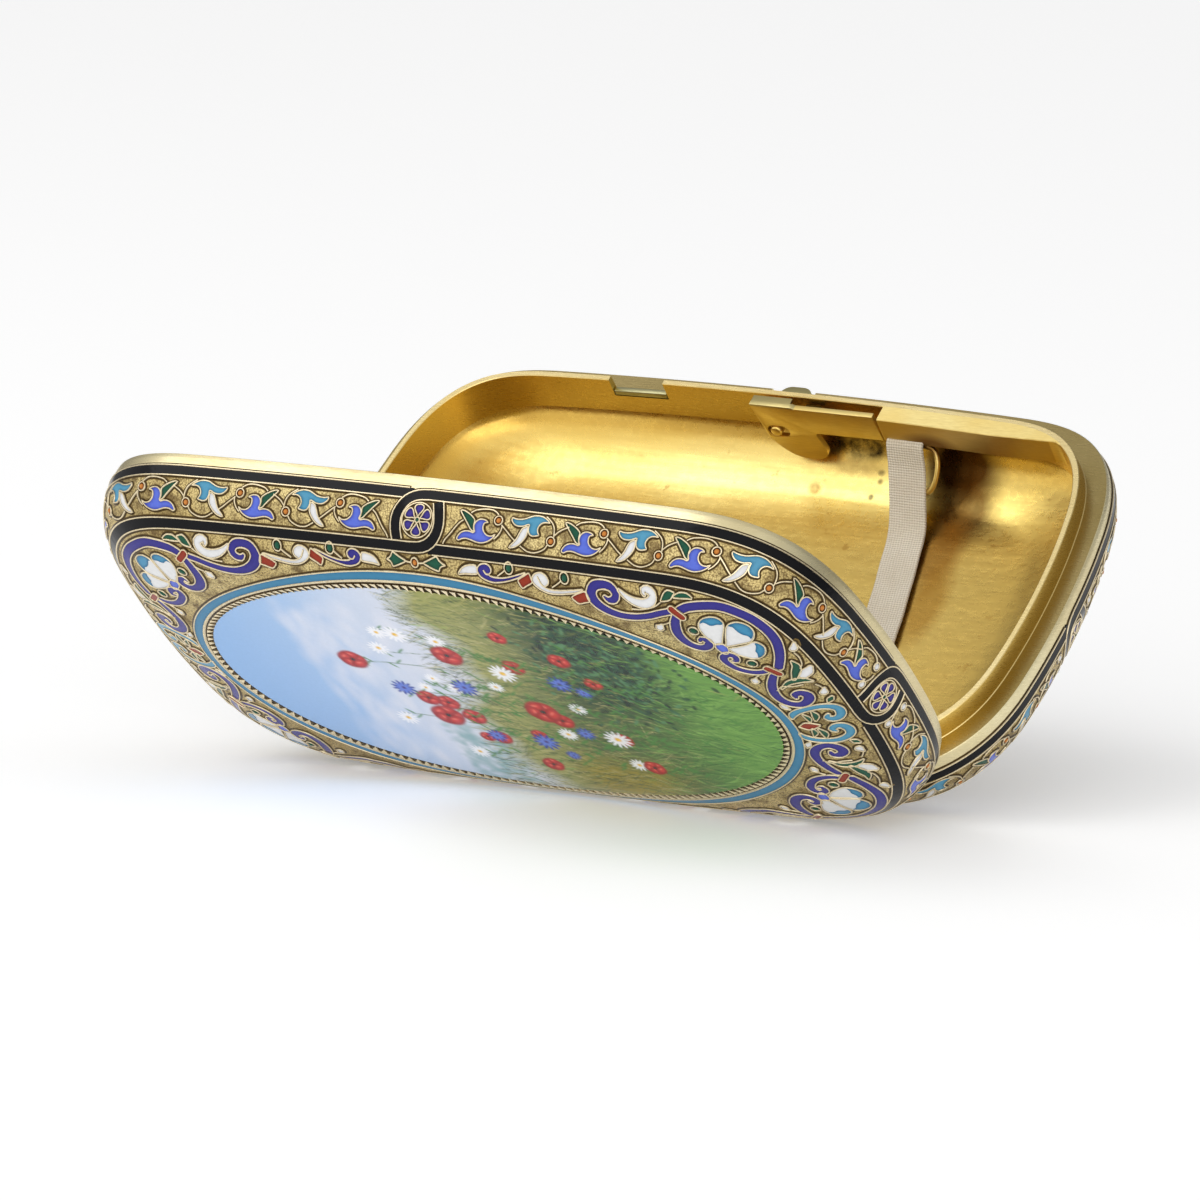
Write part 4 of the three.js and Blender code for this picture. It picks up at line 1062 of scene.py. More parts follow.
medallionForm = {
    "petals": 8, "petal": 4.2, "slim": 0.78, "stem": (3.6, 6.5, 9),
    "berryTurn": 0.39, "berryLong": 11.5, "berryWide": 9.6, "berry": 0.5,
    "ringLong": 15, "ringWide": 12.2, "ringWidth": 0.9,
    "sprays": 16, "sprayLong": 31.5, "sprayWide": 18, "spray": 1.9, "shift": (3, -6.2),
    "curl": [(17.5, 1.2, 0.5), (20, 4.2, 0.9), (23.5, 5.2, 1.1), (26, 3.4, 1.1), (25.4, 1.2, 0.9),
             (23.6, 1.3, 0.6)],
}


# the middle of the base half's outside, where the lid has its picture: a rosette with sprays round it
def addMedallion(tray):
    f = medallionForm
    slim = [(x, y * f["slim"]) for x, y in petal]
    for k in range(f["petals"]):
        angle = k * 2 * math.pi / f["petals"]
        c, s = math.cos(angle + f["berryTurn"]), math.sin(angle + f["berryTurn"])
        tray.cell("white" if k % 2 else "cobalt", "slimPetal", slim, placed(0, 0, angle, f["petal"]))
        tray.berry(f["berryLong"] * c, f["berryWide"] * s, f["berry"], "orange")
        tray.wire([(reach * c, reach * s) for reach in f["stem"]])
    tray.berry(0, 0, 1.1, "red", 0.3)
    ring = [(x, y, f["ringWidth"]) for x, y in oval(f["ringLong"], f["ringWide"], 40)]
    tray.stroke("turq", ring, True, pitch=0.8)
    for k in range(f["sprays"]):
        angle = (k + 0.5) * 2 * math.pi / f["sprays"]
        c, s, long, wide = math.cos(angle), math.sin(angle), f["sprayLong"], f["sprayWide"]
        turn = placed(long * c, wide * s, math.atan2(wide * c, -long * s), f["spray"])
        spray = bluebell if k % 2 else turquoiseBell
        for part, glaze in zip(("body", "leaf"), spray["glazes"]):
            outline = [(x + f["shift"][0], y + f["shift"][1]) for x, y in spray[part]]
            tray.cell(glaze, "back" + spray["name"] + part, outline, turn)
    for side in (1, -1):
        for fold in (1, -1):
            tray.stroke("cobalt", [(side * x, fold * y, width) for x, y, width in f["curl"]])


def buildOrnament(half):
    for part, mapping, add in (("Border", mapWall, addBorder), ("Face", mapFace, addFace)):
        tray = CellTray(mapping)
        add(tray)
        if half == "base" and part == "Face":
            addMedallion(tray)
        for kind, ending, material, slot in (("cells", "Enamel", enamelGlaze, "enamelled_shell"),
                                             ("wires", "Wires", wireGilt, "gilt_wire")):
            points, faces, shades = tray.collect(kind, half)
            piece = makePiece(half + part + ending, points, faces, half, [material], slot, colours=shades)
            cutAtSpine(piece, half)
            smooth(piece, 50)
            say(piece.name + " " + str(len(piece.data.polygons)))


for half in ("base", "lid"):
    buildOrnament(half)


# fine cups and rims

cupForm = {"gap": 0.09, "wallRows": 22, "crownRows": 30, "crownPack": 1.6, "innerRows": 26, "setBack": 0.5,
           "lip": 0.9, "thin": 0.85, "easePasses": 60, "easeRows": 9}


def rowAt(inset, depth):
    ring = outlinePoint(np.arange(ringCount, dtype=float), np.full(ringCount, float(inset)))
    return np.column_stack([ring, np.full(ringCount, -depth)])


# the wall from the band down, then the crown in rings that shrink to its middle
def outerRows(shares):
    f = caseForm
    rows = []
    for v in np.linspace(f["bandDepth"] + cupForm["gap"], wallReach, cupForm["wallRows"]):
        inset, depth = (np.interp(v, wallArc, wallPoints[:, k]) for k in (0, 1))
        rows.append(rowAt(inset, depth + f["rimGap"]))
    for share in shares:
        x, y = (shoulderRing * share).T
        rows.append(np.column_stack([x, y + middleY, -crownDepth(x, y) - f["rimGap"]]))
    return rows


# the same inside, from the middle out and up to the lip, with the turn between crown and wall eased
def innerRows(shares):
    f, c = caseForm, cupForm
    farthest = f["shoulderInset"] + c["setBack"]
    inner = outlineRing(farthest) - (0, middleY)
    rows = []
    for share in shares[::-1]:
        x, y = (shoulderRing * share).T
        ringX, ringY = (inner * share).T
        rows.append(np.column_stack([ringX, ringY + middleY, -crownDepth(x, y) - f["rimGap"] + f["crown"]]))
    for v in np.linspace(wallReach, 0.0, c["innerRows"]):
        inset, depth = (np.interp(v, wallArc, wallPoints[:, k]) for k in (0, 1))
        runIn, runDown = (np.interp(v, wallArc, wallSlope[:, k]) for k in (0, 1))
        share = v / wallReach
        thick = f["wall"] * (1 - share) + f["crown"] * share
        depthIn = max(c["lip"], depth - thick * runIn * c["thin"])
        if depthIn > c["lip"] or v > 1:
            rows.append(rowAt(min(inset + thick * runDown, farthest), depthIn + f["rimGap"]))
    rows = np.array(rows)
    low, high = len(shares) - c["easeRows"], len(shares) + c["easeRows"] + 1
    for _ in range(c["easePasses"]):
        rows[low:high] = (rows[low - 1:high - 1] + 2 * rows[low:high] + rows[low + 1:high + 1]) / 4
    return rows


def buildCup(half):
    shares = list(1 - np.linspace(0, 1, cupForm["crownRows"])[1:-1] ** cupForm["crownPack"])
    outer, inner = outerRows(shares), innerRows(shares)
    points = np.concatenate([np.array(outer), inner]).reshape(-1, 3)
    joint = len(outer) - 1
    faces = ringFaces(len(outer) + len(inner), ringCount)
    kinds = [int(k // ringCount > joint) for k in range(len(faces))]
    keep = [k for k in range(len(faces)) if k // ringCount != joint]
    faces, kinds = [faces[k] for k in keep], [kinds[k] for k in keep]
    first, second = joint * ringCount, (joint + 1) * ringCount
    faces += [list(range(first, first + ringCount)), list(range(second, second + ringCount))[::-1]]
    piece = makePiece(half + "Cup", toWorld(points, half), faces, half, [stippledGilt, mirrorGilt],
                      "enamelled_shell", (half + "_shell",), kinds=kinds + [0, 1])
    cutAtSpine(piece, half)
    smooth(piece, 40)


def sweepRing(name, half, section, replaced):
    rows = [rowAt(inset, -height) for inset, height in section]
    last = len(section)
    kinds = [int(min(section[k][0], section[(k + 1) % last][0]) > rimForm["stripFrom"])
             for k in range(last) for _ in range(ringCount)]
    piece = makePiece(name, toWorld(np.concatenate(rows), half), ringFaces(last, ringCount), half,
                      [rimGilt, stripGilt], "gilt_satin", replaced, kinds=kinds)
    cutAtSpine(piece, half)
    return piece


def roundedSection(corners):
    out, corners = [], np.array(corners, float)
    for k, here in enumerate(corners):
        for other in (corners[k - 1], corners[(k + 1) % len(corners)]):
            run = other - here
            size = np.hypot(*run)
            out.append(here + run / size * min(rimForm["rounding"], size * 0.4))
    return out


def cutBox(piece, half, low, high):
    bpy.ops.mesh.primitive_cube_add(size=1)
    cutter = bpy.context.object
    for vertex in cutter.data.vertices:
        local = [(low, high)[vertex.co[k] > 0][k] for k in range(3)]
        vertex.co = toWorld([local], half)[0]
    reworkMesh(cutter.data, lambda work: bmesh.ops.recalc_face_normals(work, faces=work.faces))
    applyModifier(piece, "BOOLEAN", object=cutter, operation="DIFFERENCE", solver="EXACT")
    bpy.data.objects.remove(cutter)


rimForm = {"band": 1.1, "ledge": 0.8, "ledgeWidth": 2.4, "lidShort": 0.3, "strip": 0.9, "stripTop": 2.75,
           "stripFoot": -3.5, "stripFrom": 2.3, "stripStart": 3.3, "rounding": 0.09,
           "gateLeft": -25.5, "gateWidth": 8.3, "gateDrop": 3.1, "slotLeft": -2.6, "slotRight": 4.05,
           "slotDrop": 1.1}


def buildRims():
    f, c = rimForm, caseForm
    gap, depth, bulge = c["rimGap"], c["bandDepth"], c["bandBulge"]
    inner, far, lidInner = f["ledgeWidth"], f["ledgeWidth"] + f["strip"], f["ledgeWidth"] - f["lidShort"]
    outer = [(-bulge * 0.5, -gap), (-bulge * 0.8, -gap - depth * 0.3), (-bulge * 0.85, -gap - depth),
             (f["band"], -gap - depth), (f["band"], -gap - f["ledge"])]
    base = roundedSection(outer + [(inner, -gap - f["ledge"]), (inner, f["stripFoot"]), (far, f["stripFoot"]),
                                   (far, f["stripTop"]), (inner + 0.1, f["stripTop"]), (inner, -gap)])
    lid = roundedSection(outer + [(lidInner, -gap - f["ledge"]), (lidInner, -gap)])
    rim = sweepRing("baseRim", "base", base, ("base_frame",))
    # the strip is cut away beside the hinge, at the gate and at the slot of the thumb tongue
    top = f["stripTop"] + 1
    cutBox(rim, "base", (-60, -20, -gap - 0.01), (60, f["stripStart"], top))
    cutBox(rim, "base", (f["gateLeft"], claspEdge - 9, f["stripTop"] - f["gateDrop"]),
           (f["gateLeft"] + f["gateWidth"], claspEdge - inner + 0.02, top))
    cutBox(rim, "base", (f["slotLeft"], claspEdge - 6, -f["slotDrop"]), (f["slotRight"], claspEdge + 4, 0))
    smooth(rim, 35)
    smooth(sweepRing("lidRim", "lid", lid, ("lid_frame",)), 35)


for half in ("base", "lid"):
    buildCup(half)
say("cups")
buildRims()
say("rims")


# plaque, painted as a fine colour grid on its own dome

def linear(colour):
    c = np.asarray(colour, float) / 255
    return np.where(c <= 0.04045, c / 12.92, ((c + 0.055) / 1.055) ** 2.4)


class Canvas:
    def __init__(self, halfLong, halfWide, scale):
        self.scale, self.halfLong, self.halfWide = scale, halfLong, halfWide
        self.width, self.height = int(2 * halfLong * scale), int(2 * halfWide * scale)
        self.x, self.y = np.meshgrid((np.arange(self.width) + 0.5) / scale - halfLong,
                                     (np.arange(self.height) + 0.5) / scale - halfWide)
        self.pixels = np.zeros((self.height, self.width, 3))

    def blend(self, mask, colour):
        mask = np.clip(mask, 0, 1)[..., None]
        self.pixels = self.pixels * (1 - mask) + linear(colour) * mask

    def dab(self, x, y, angle, long, wide, colour, strength=1.0, soft=0.35):
        reach = max(long, wide) * 1.2
        x0, x1 = (int((v + self.halfLong) * self.scale) for v in (x - reach, x + reach + 1 / self.scale))
        y0, y1 = (int((v + self.halfWide) * self.scale) for v in (y - reach, y + reach + 1 / self.scale))
        x0, y0, x1, y1 = max(x0, 0), max(y0, 0), min(x1 + 1, self.width), min(y1 + 1, self.height)
        if x0 >= x1 or y0 >= y1:
            return
        dx, dy = self.x[y0:y1, x0:x1] - x, self.y[y0:y1, x0:x1] - y
        c, s = math.cos(angle), math.sin(angle)
        along, across = (dx * c + dy * s) / long, (dy * c - dx * s) / wide
        away = np.sqrt(along ** 2 + across ** 2)
        mask = np.clip((1 - away) / soft, 0, 1)[..., None] * strength
        window = self.pixels[y0:y1, x0:x1]
        self.pixels[y0:y1, x0:x1] = window * (1 - mask) + linear(colour) * mask

    def sample(self, x, y):
        px = np.clip((x + self.halfLong) * self.scale - 0.5, 0, self.width - 1.001)
        py = np.clip((y + self.halfWide) * self.scale - 0.5, 0, self.height - 1.001)
        i, j = px.astype(int), py.astype(int)
        a, b = (px - i)[:, None], (py - j)[:, None]
        low, high = (self.pixels[row, i] * (1 - a) + self.pixels[row, i + 1] * a for row in (j, j + 1))
        return low * (1 - b) + high * b


# the picture stands with its sky towards -X: a summer meadow with three kinds of wild flower
pictureForm = {
    "seed": 7, "scale": 11, "halfLong": 41.5, "halfWide": 24, "clouds": 260, "trees": 220, "blades": 5200,
    "leaves": 420, "smallPlants": 30,
    "dryBlades": [(170, 164, 96), (120, 124, 64), (84, 102, 54), (58, 80, 46), (186, 178, 122), (42, 62, 40)],
    "greenBlades": [(84, 132, 58), (118, 166, 78), (58, 102, 52), (138, 182, 92), (40, 80, 48)],
    "leafTones": [(30, 66, 50), (50, 94, 68), (84, 130, 90), (16, 40, 34)],
    "plants": [((-19, 5), "poppy", 1.5), ((-10, -7), "poppy", 1.7), ((-3, 9), "poppy", 1.6),
               ((6, -3), "poppy", 1.8), ((-14, -1), "bell", 1.5), ((-4, 1), "bell", 1.6),
               ((3, -11), "bell", 1.6), ((12, 5), "bell", 1.5), ((-9, 13), "daisy", 1.5),
               ((4, 6), "daisy", 1.6), ((15, -8), "daisy", 1.6), ((-17, -9), "daisy", 1.3)],
}


def fadeIn(value, start, reach):
    return np.clip((value - start) / reach, 0, 1)


def paintSky(canvas, rng):
    x = canvas.x
    canvas.pixels[:] = linear((136, 176, 222))
    canvas.blend((x + 41) / 34, (180, 200, 226))
    canvas.blend((x + 24) / 22, (212, 214, 224))
    for _ in range(pictureForm["clouds"]):
        cx, cy = rng.uniform(-26, -6), rng.uniform(-20, 18)
        angle, long, wide = rng.uniform(1.2, 1.9), rng.uniform(2, 5), rng.uniform(0.8, 2.2)
        canvas.dab(cx, cy, angle, long, wide, (224, 224, 232), 0.2, 0.9)
    for _ in range(pictureForm["trees"]):
        cx, cy = rng.uniform(-12, -3), rng.uniform(-24, -9)
        angle, long, wide = rng.uniform(0, 3), rng.uniform(0.6, 1.8), rng.uniform(0.5, 1.2)
        canvas.dab(cx, cy, angle, long, wide, (122, 164, 168), 0.3, 0.8)


def paintGround(canvas):
    x, y = canvas.x, canvas.y
    edge = -5 + 2.2 * np.sin(y * 0.21) + 1.1 * np.sin(y * 0.53 + 1)
    canvas.blend((x - edge) / 5, (150, 152, 90))
    canvas.blend(fadeIn(x, 2, 10), (88, 102, 66))
    canvas.blend(fadeIn(x, 8, 16) * np.clip(1 - np.abs(y + 20) / 60, 0, 1), (78, 102, 56))
    canvas.blend(fadeIn(x, 22, 12), (102, 148, 68))
    canvas.blend(fadeIn(x, 3, 5) * fadeIn(-y, 11, 6) * fadeIn(-x, -24, 8), (150, 136, 52))
    canvas.blend(fadeIn(x, 9, 7) * fadeIn(-x, -31, 6) * fadeIn(y, -4, 8), (26, 52, 42))


def paintGrass(canvas, rng):
    f = pictureForm
    for _ in range(f["blades"]):
        cx, cy = rng.uniform(-7, 41), rng.uniform(-24, 24)
        family = f["greenBlades"] if rng.random() < np.clip((cx - 12) / 16, 0.05, 0.97) else f["dryBlades"]
        colour = family[rng.integers(len(family))]
        angle = math.pi + rng.normal(0, 0.35) + 0.25 * math.sin(cy * 0.3 + cx * 0.2)
        long, wide, strength = rng.uniform(0.9, 2.9), rng.uniform(0.05, 0.14), rng.uniform(0.35, 0.85)
        canvas.dab(cx, cy, angle, long, wide, colour, strength, 0.6)
    for _ in range(f["leaves"]):
        cx, cy = rng.normal(20, 5), rng.normal(11, 6)
        colour = f["leafTones"][rng.integers(len(f["leafTones"]))]
        angle, long, wide = rng.uniform(0, 3.1), rng.uniform(0.5, 1.1), rng.uniform(0.25, 0.5)
        canvas.dab(cx, cy, angle, long, wide, colour, 0.8, 0.4)


def paintPlants(canvas, rng):
    plants = []
    for _ in range(pictureForm["smallPlants"]):
        head = (rng.uniform(-14, 20), rng.uniform(-17, 17))
        plants.append((head, ["poppy", "bell", "daisy"][rng.integers(3)], rng.uniform(0.8, 1.3)))
    for (hx, hy), kind, size in sorted(plants + pictureForm["plants"], key=lambda plant: plant[2]):
        foot = (hx + rng.uniform(12, 22) * (0.6 + 0.4 * size), hy * 0.75 + rng.normal(0, 1))
        for t in np.linspace(0, 1, 90):
            sx = hx + (foot[0] - hx) * t
            sy = hy + (foot[1] - hy) * t + 1.3 * math.sin(t * 2.6 + hx)
            canvas.dab(sx, sy, 0, 0.16, 0.13, (52, 96, 44), 0.8, 0.6)
            if rng.random() < 0.09:
                leafY, angle = sy + rng.choice([-0.5, 0.5]), rng.choice([2.4, 3.9])
                canvas.dab(sx, leafY, angle, 1.1, 0.24, (74, 128, 58), 0.85, 0.5)
        paintHead(canvas, rng, hx, hy, kind, size)


def paintPicture():
    f = pictureForm
    rng = np.random.default_rng(f["seed"])
    canvas = Canvas(f["halfLong"], f["halfWide"], f["scale"])
    paintSky(canvas, rng)
    paintGround(canvas)
    paintGrass(canvas, rng)
    paintPlants(canvas, rng)
    return canvas


def paintHead(canvas, rng, x, y, kind, size):
    start = rng.uniform(0, 1)

    def petals(count, reach, long, wide, colour, soft):
        for k in range(count):
            a = start + k * 2 * math.pi / count
            px, py = x + math.cos(a) * size * reach, y + math.sin(a) * size * reach
            canvas.dab(px, py, a, size * long, size * wide, colour, 0.95, soft)

    def eye(radius, colour, strength, soft, shift=(0, 0)):
        canvas.dab(x + shift[0], y + shift[1], 0, size * radius, size * radius, colour, strength, soft)
    if kind == "poppy":
        for k in range(5):
            a = start + k * 2 * math.pi / 5
            px, py = x + math.cos(a) * size * 0.75, y + math.sin(a) * size * 0.75
            canvas.dab(px, py, a + 1.57, size * 1.05, size * 0.8, (150, 30, 30), 0.95, 0.25)
            canvas.dab(px + 0.1, py + 0.1, a + 1.57, size * 0.8, size * 0.55, (206, 58, 52), 0.9, 0.6)
            canvas.dab(px, py + 0.25, a + 1.2, size * 0.4, size * 0.16, (238, 130, 110), 0.7, 0.8)
        eye(0.3, (40, 34, 30), 0.95, 0.4)
    elif kind == "bell":
        petals(12, 0.8, 0.55, 0.2, (44, 62, 150), 0.35)
        petals(8, 0.55 * 0.8, 0.55, 0.2, (96, 122, 210), 0.35)
        eye(0.28, (60, 40, 110), 0.9, 0.5)
    else:
        petals(13, 0.75, 0.62, 0.17, (240, 240, 244), 0.3)
        eye(0.34, (226, 176, 48), 1.0, 0.4)
        eye(0.16, (250, 220, 120), 0.8, 0.6, (0.1, -0.1))


plaqueForm = {"across": 380, "down": 215, "lift": 0.1, "foot": -0.5}


def buildPlaque():
    f, o = plaqueForm, ovalForm
    across, down = f["across"], f["down"]
    canvas = paintPicture()
    say("picture")
    u, v = np.meshgrid(np.linspace(-1, 1, across + 1), np.linspace(-1, 1, down + 1))
    x = (u * np.sqrt(1 - v ** 2 / 2)).ravel() * o["plaqueLong"]
    y = (v * np.sqrt(1 - u ** 2 / 2)).ravel() * o["plaqueWide"]
    top = np.column_stack([x, y, np.full(len(x), f["lift"])])
    row = across + 1
    k = (np.arange(down)[:, None] * row + np.arange(across)[None, :]).ravel()
    faces = np.column_stack([k, k + 1, k + row + 1, k + row]).tolist()
    edge = list(range(row)) + [(r + 1) * row + across for r in range(down)]
    edge += [down * row + c for c in range(across)][::-1] + [r * row for r in range(down)][:0:-1]
    foot = top[edge] * (1, 1, 0) + (0, 0, f["foot"])
    faces += wallFaces(edge, len(top))
    faces.append(list(range(len(top), len(top) + len(edge))))
    points = np.concatenate([top, foot])
    # the picture's left is the lid's own +X side, because the lid stands turned round
    colours = canvas.sample(-points[:, 0], points[:, 1])
    piece = makePiece("lidPicture", toWorld(mapFace(points), "lid"), faces, "lid", [plaquePaint],
                      "enamel_plaque", ("lid_plaque",), colours=colours)
    smooth(piece, 60)


def buildPlaqueBorder():
    f = ovalForm
    tray = CellTray(mapFace)
    long, wide, width, count, steps = (f[key] for key in ("borderLong", "borderWide", "borderWidth", "teeth",
                                                          "borderSteps"))
    path = evenOval(long, wide, steps)
    bright, dark = np.array(wireForm["bright"]), np.array(wireForm["dark"])
    # a thin pale strip outside, and a dark bed under the teeth inside
    for low, high, top, tone in ((0.32, 0.5, 0.16, bright * 0.8), (-0.5, 0.34, 0.04, dark)):
        offsets = np.array([high, high, high - 0.04, low + 0.04, low, low]) * -width
        lifts = np.array([-0.4, top - 0.04, top, top, top - 0.04, -0.4])
        tray.sweep("wires", path, np.tile(offsets, (len(path), 1)), lifts, np.tile(tone, (6, 1)), True)
    # each tooth takes three of the four steps that it has along the oval
    reach, back, last = width * f["toothReach"], f["toothRoot"], count * 4
    root, tip = evenOval(long + back, wide + back, last), evenOval(long - reach, wide - reach, last)
    for k in range(0, last, 4):
        corners = [root[k], root[(k + 3) % last], tip[(k + 3) % last]]
        points = [(*c, lift) for c, lift in zip(corners, (0.22, 0.24, 0.15))] + [(*c, -0.1) for c in corners]
        faces = [[0, 1, 2], [5, 4, 3], [0, 3, 4, 1], [1, 4, 5, 2], [2, 5, 3, 0]]
        tray.parts["wires"].append((np.array(points), faces, np.tile(bright * 1.08, (6, 1))))
    tray.wire(evenOval(long + width * 0.5, wide + width * 0.5, steps), True, raw=True, half=0.1)
    points, faces, shades = tray.collect("wires", "lid")
    smooth(makePiece("lidOvalBorder", points, faces, "lid", [wireGilt], "gilt_wire", ("plaque_border",),
                     colours=shades), 40)


buildPlaque()
buildPlaqueBorder()
say("plaque")


# tape and fittings

tapeForm = {"width": 5.5, "thick": 0.5, "claspX": 20.1, "hingeX": 25.0, "floor": 9.94, "leanFrom": 7.2,
            "leanTo": 8.3, "bow": 1.9, "bowPower": 1.4, "crown": 0.05, "wave": 0.06, "edge": 0.12}


# distance from the clasp edge and depth: once round the ring, down to the floor and across to the hinge side
def tapeRoute():
    floor, width = tapeForm["floor"], caseForm["width"]
    return [(5.25, 2.5), (5.1, 1.9), (5.25, 1.2), (5.9, 0.95), (6.5, 1.3), (6.95, 2.2), (8.0, 4.1),
            (10.6, 6.6), (13, floor - 1.24), (15.4, floor - 0.34), (20, floor - 0.14),
            (width / 2, floor - 0.09), (width - 20.3, floor - 0.19), (width - 12.3, floor - 1.04),
            (width - 8.3, floor - 2.74)]


def buildTape():
    f = tapeForm
    path = spline([(a, d, 0) for a, d in tapeRoute()], 0.5)[:, :2]
    away, depth = path.T
    share = np.clip((away - f["leanFrom"]) / (caseForm["width"] - f["leanTo"] - f["leanFrom"]), 0, 1)
    bow = f["bow"] * np.sin(math.pi * share ** f["bowPower"])
    x = f["claspX"] + (f["hingeX"] - f["claspX"]) * share + bow
    run = np.gradient(path, axis=0)
    run /= np.hypot(*run.T)[:, None]
    length = np.concatenate([[0], np.cumsum(np.hypot(*(path[1:] - path[:-1]).T))])
    across = np.linspace(-1, 1, 9)
    points, uv = [], []
    for k in range(len(path)):
        for t in across:
            wave = f["wave"] * math.sin(length[k] * 0.9 + t * 1.3)
            lift = f["crown"] * (1 - t * t) + wave * (abs(t) > 0.4)
            side = t * f["width"] / 2
            points.append((x[k] + side, claspEdge - away[k] + run[k, 1] * lift, -depth[k] - run[k, 0] * lift))
            uv.append((side * mm, length[k] * mm))
    count = len(across)
    faces = [[r * count + k, r * count + k + 1, (r + 1) * count + k + 1, (r + 1) * count + k]
             for r in range(len(path) - 1) for k in range(count - 1)]
    piece = makePiece("holdingTape", toWorld(points, "base"), faces, "base", [tapeCloth], "woven_tape",
                      ("holding_strap",))
    layer = piece.data.uv_layers.new(name="weave")
    for loop in piece.data.loops:
        layer.data[loop.index].uv = uv[loop.vertex_index]
    applyModifier(piece, "SOLIDIFY", thickness=f["thick"] * mm, offset=0)
    applyModifier(piece, "BEVEL", width=f["edge"] * mm, segments=2, limit_method="ANGLE")
    smooth(piece, 50)


buildTape()


# a finer copy of a CAD node: one smooth mesh with small bevels
def refine(node, material, slot, bevel=0.07, degrees=35, bend=None):
    piece = bpy.data.objects.new(node + "Fine", frame["nodes"][node].data.copy())
    bpy.context.scene.collection.objects.link(piece)
    piece.data.materials.clear()
    piece.data.materials.append(material)

    def merge(work):
        bmesh.ops.remove_doubles(work, verts=work.verts, dist=2e-6)
        bmesh.ops.dissolve_limit(work, angle_limit=math.radians(0.8), verts=work.verts, edges=work.edges)
    reworkMesh(piece.data, merge)
    if bevel:
        applyModifier(piece, "BEVEL", width=bevel * mm, segments=2, limit_method="ANGLE",
                      angle_limit=math.radians(40), use_clamp_overlap=True)
    smooth(piece, degrees)
    body = next(name for name, members in frame["record"]["behaviour"]["bodies"].items() if node in members)
    return finishPiece(piece, body, slot, (node,), bend)


refine("gate_plate", fillerReflectionGilt, "gilt_polished")
for node in ("latch_slide", "lid_catch"):
    refine(node, fittingGilt, "gilt_polished")


blockForm = {"from": 16.85, "to": 43, "bend": 34, "inner": 3.2, "deep": 5.7, "foot": -1.4, "top": 2.75,
             "edge": 0.1, "thinnest": 0.12, "rows": 46}


def buildBlock():
    f = blockForm
    ring = outlinePoint(np.arange(ringCount, dtype=float), np.full(ringCount, f["deep"]))
    upper = np.where(ring[:, 1] > claspEdge - 12)[0]
    upper = upper[np.argsort(ring[upper, 0])]
    places = np.interp(np.linspace(f["from"], f["to"], f["rows"]), ring[upper, 0], upper.astype(float))
    level = np.interp(f["bend"], ring[upper, 0], ring[upper, 1])
    inner, foot, top, edge = (f[key] for key in ("inner", "foot", "top", "edge"))
    rows = []
    for place in places:
        outside, (x, y) = outlinePoint(place, 0), outlinePoint(place, f["deep"])
        deep = f["deep"]
        if x > f["bend"]:  # the front stays straight and meets the strip in the corner
            deep = max(inner + f["thinnest"], deep * (outside[1] - level) / (outside[1] - y))
        section = [(inner, foot), (deep - edge, foot), (deep, foot + edge), (deep, top - edge),
                   (deep - edge, top), (inner, top)]
        rows += [(*outlinePoint(place, inset), height) for inset, height in section]
    count, ends = len(section), len(rows) - len(section)
    faces = [[low + k, low + (k + 1) % count, low + count + (k + 1) % count, low + count + k]
             for low in range(0, ends, count) for k in range(count)]
    faces += [list(range(count)), list(range(ends, len(rows)))]
    smooth(makePiece("claspBlock", toWorld(rows, "base"), faces, "base", [fittingGilt], "gilt_polished",
                     ("clasp_block",)), 35)


buildBlock()
springForm = {"fixed": 1.1, "moving": 3.6}  # on the object the left leg stays at the pin and the right leg goes with the latch; the spring is only baked in place, not bent
refine("latch_spring", fittingGilt, "gilt_wire", bevel=0, degrees=60,
       bend=("base", "latch", (springForm["fixed"] * mm, 0, 0), (springForm["moving"] * mm, 0, 0)))
ringForm = {"narrow": 0.8, "shift": 0.5}
for node in ("latch_guide_pin", "strap_ring", "strap_staple", "hinge_pin"):
    piece = refine(node, fittingGilt, "gilt_wire", bevel=0.3 if node == "latch_guide_pin" else 0, degrees=60)
    if node == "strap_ring":
        right = max(vertex.co.x for vertex in piece.data.vertices)
        for vertex in piece.data.vertices:
            vertex.co.x = right - (right - vertex.co.x) * ringForm["narrow"] + ringForm["shift"] * mm
for node in ("base_hinge_bearer", "lid_hinge_bearer", "base_knuckle_1", "base_knuckle_2", "base_knuckle_3",
             "lid_knuckle_1", "lid_knuckle_2"):
    refine(node, rimGilt, "gilt_satin", bevel=0.1)
say("fittings")


# floor, light and camera

floorForm = {"size": 30, "drop": -0.0004, "tone": (0.93, 0.93, 0.93, 1), "glow": 0.27}


def addStage():
    f = floorForm
    bpy.ops.mesh.primitive_plane_add(size=f["size"], location=(0, 0, f["drop"]))
    floor = bpy.context.object
    floor.name = "floor"
    paper = bpy.data.materials.new("paleFloor")
    paper.use_nodes = True
    shader = paper.node_tree.nodes["Principled BSDF"]
    for key, value in (("Base Color", f["tone"]), ("Roughness", 0.8), ("Specular IOR Level", 0.2),
                       ("Emission Color", (1, 1, 1, 1)), ("Emission Strength", f["glow"])):
        shader.inputs[key].default_value = value
    floor.data.materials.append(paper)
    addWorld()


skyForm = {"low": 0.3, "high": 1.16, "from": -0.5, "to": 0.7, "key": (0, -1, 0), "seen": 1.0}


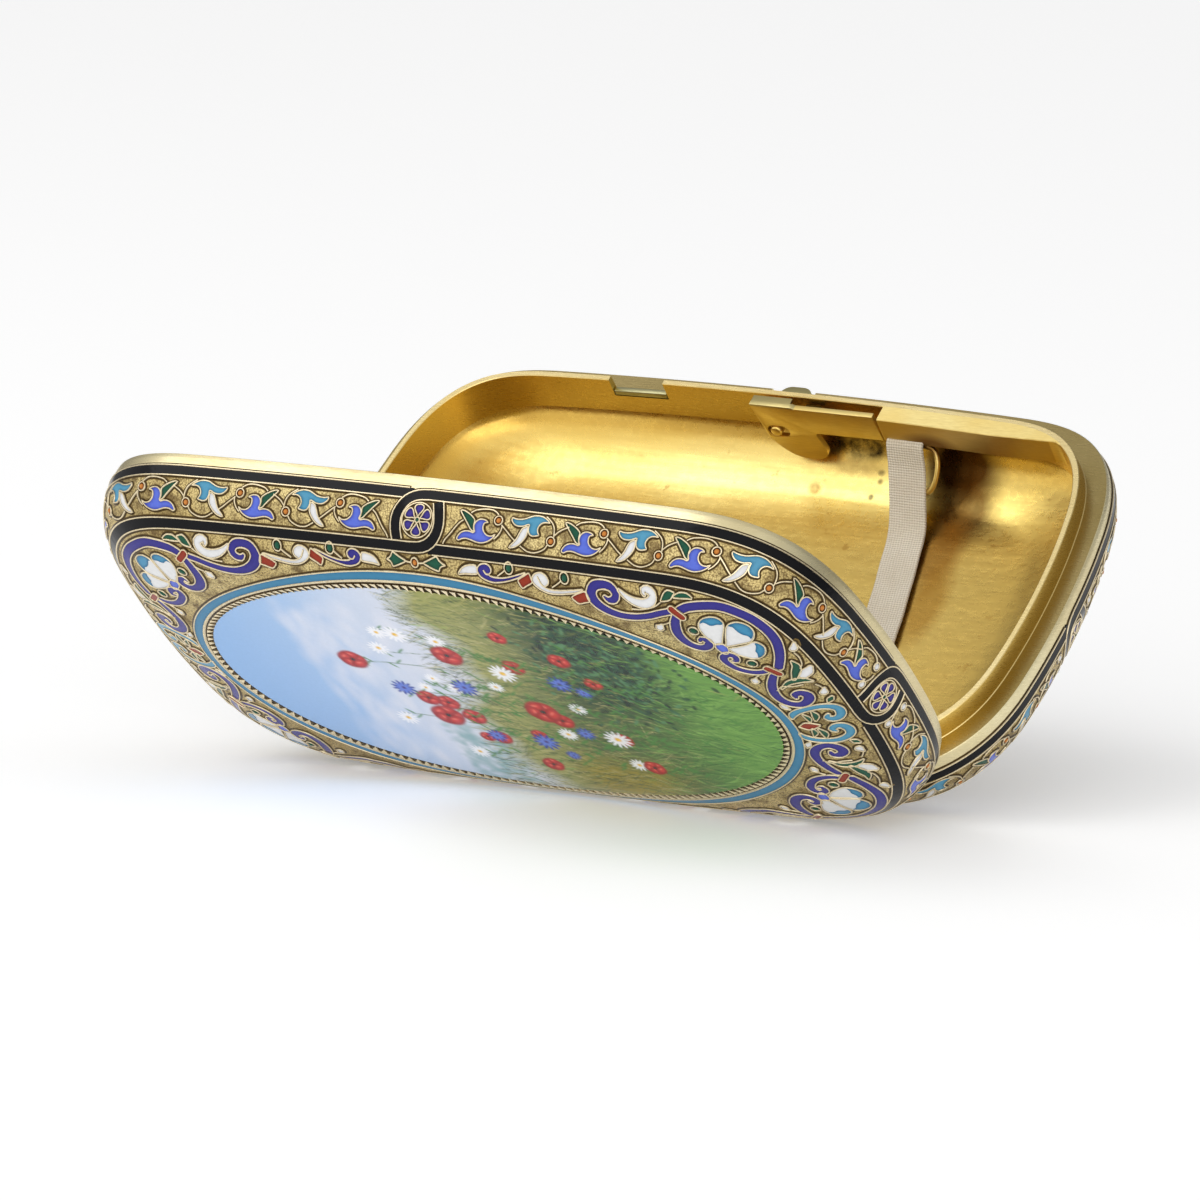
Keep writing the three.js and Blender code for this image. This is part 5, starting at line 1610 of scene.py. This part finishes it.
# a soft room, bright in front and dim behind, where the camera itself sees plain white
def addWorld():
    f = skyForm
    world = bpy.data.worlds.new("studio")
    world.use_nodes = True
    tree = world.node_tree
    back = tree.nodes["Background"]
    place = tree.nodes.new("ShaderNodeTexCoord")
    facing = tree.nodes.new("ShaderNodeVectorMath")
    facing.operation = "DOT_PRODUCT"
    facing.inputs[1].default_value = Vector(f["key"]).normalized()
    tree.links.new(place.outputs["Generated"], facing.inputs[0])
    spread = tree.nodes.new("ShaderNodeMapRange")
    for key, name in (("From Min", "from"), ("From Max", "to"), ("To Min", "low"), ("To Max", "high")):
        spread.inputs[key].default_value = f[name]
    tree.links.new(facing.outputs["Value"], spread.inputs["Value"])
    seen = tree.nodes.new("ShaderNodeLightPath")
    ray = Socket(tree, seen.outputs["Is Camera Ray"])
    strength = Socket(tree, spread.outputs[0]) * (1 - ray) + ray * f["seen"]
    tree.links.new(strength.link, back.inputs["Strength"])
    back.inputs["Color"].default_value = (1, 1, 1, 1)
    bpy.context.scene.world = world


lampForm = {
    "keyLamp": {"place": (-0.45, -0.3, 0.73), "target": (0, 0, 0.02), "size": (0.55, 0.5), "power": 1.15},
    "frontLamp": {"place": (0.5, -1.0, 0.3), "target": (0, 0, 0.02), "size": (1.3, 0.6), "power": 2.3},
}


def addLamp(name):
    f = lampForm[name]
    lamp = bpy.data.lights.new(name, "AREA")
    lamp.shape, lamp.energy = "RECTANGLE", f["power"]
    lamp.size, lamp.size_y = f["size"]
    holder = bpy.data.objects.new(name, lamp)
    bpy.context.scene.collection.objects.link(holder)
    holder.location = f["place"]
    holder.rotation_euler = (Vector(f["target"]) - Vector(f["place"])).to_track_quat("-Z", "Y").to_euler()


cameraForm = {"place": (600.62, -1034.27, 222.33), "right": (0.8624, 0.5059, 0.0171),
              "down": (0.1002, -0.1376, -0.9854), "forward": (-0.4961, 0.8516, -0.1694), "lens": 277.9}


def addCamera():
    f = cameraForm
    camera = bpy.data.cameras.new("camera")
    camera.sensor_width, camera.lens = 36, f["lens"]
    camera.clip_start, camera.clip_end = 0.05, 20
    holder = bpy.data.objects.new("camera", camera)
    bpy.context.scene.collection.objects.link(holder)
    right, up, back = Vector(f["right"]), -Vector(f["down"]), -Vector(f["forward"])
    turn = Matrix((right, up, back)).transposed().to_quaternion()
    holder.rotation_mode = "QUATERNION"
    holder.rotation_quaternion = turn
    holder.location = (Vector(f["place"]) + Vector((0, 0, caseForm["axisHeight"]))) * mm
    bpy.context.scene.camera = holder


addStage()
for name in lampForm:
    addLamp(name)
addCamera()
bpy.context.scene.view_settings.view_transform = "Standard"
say("stage")
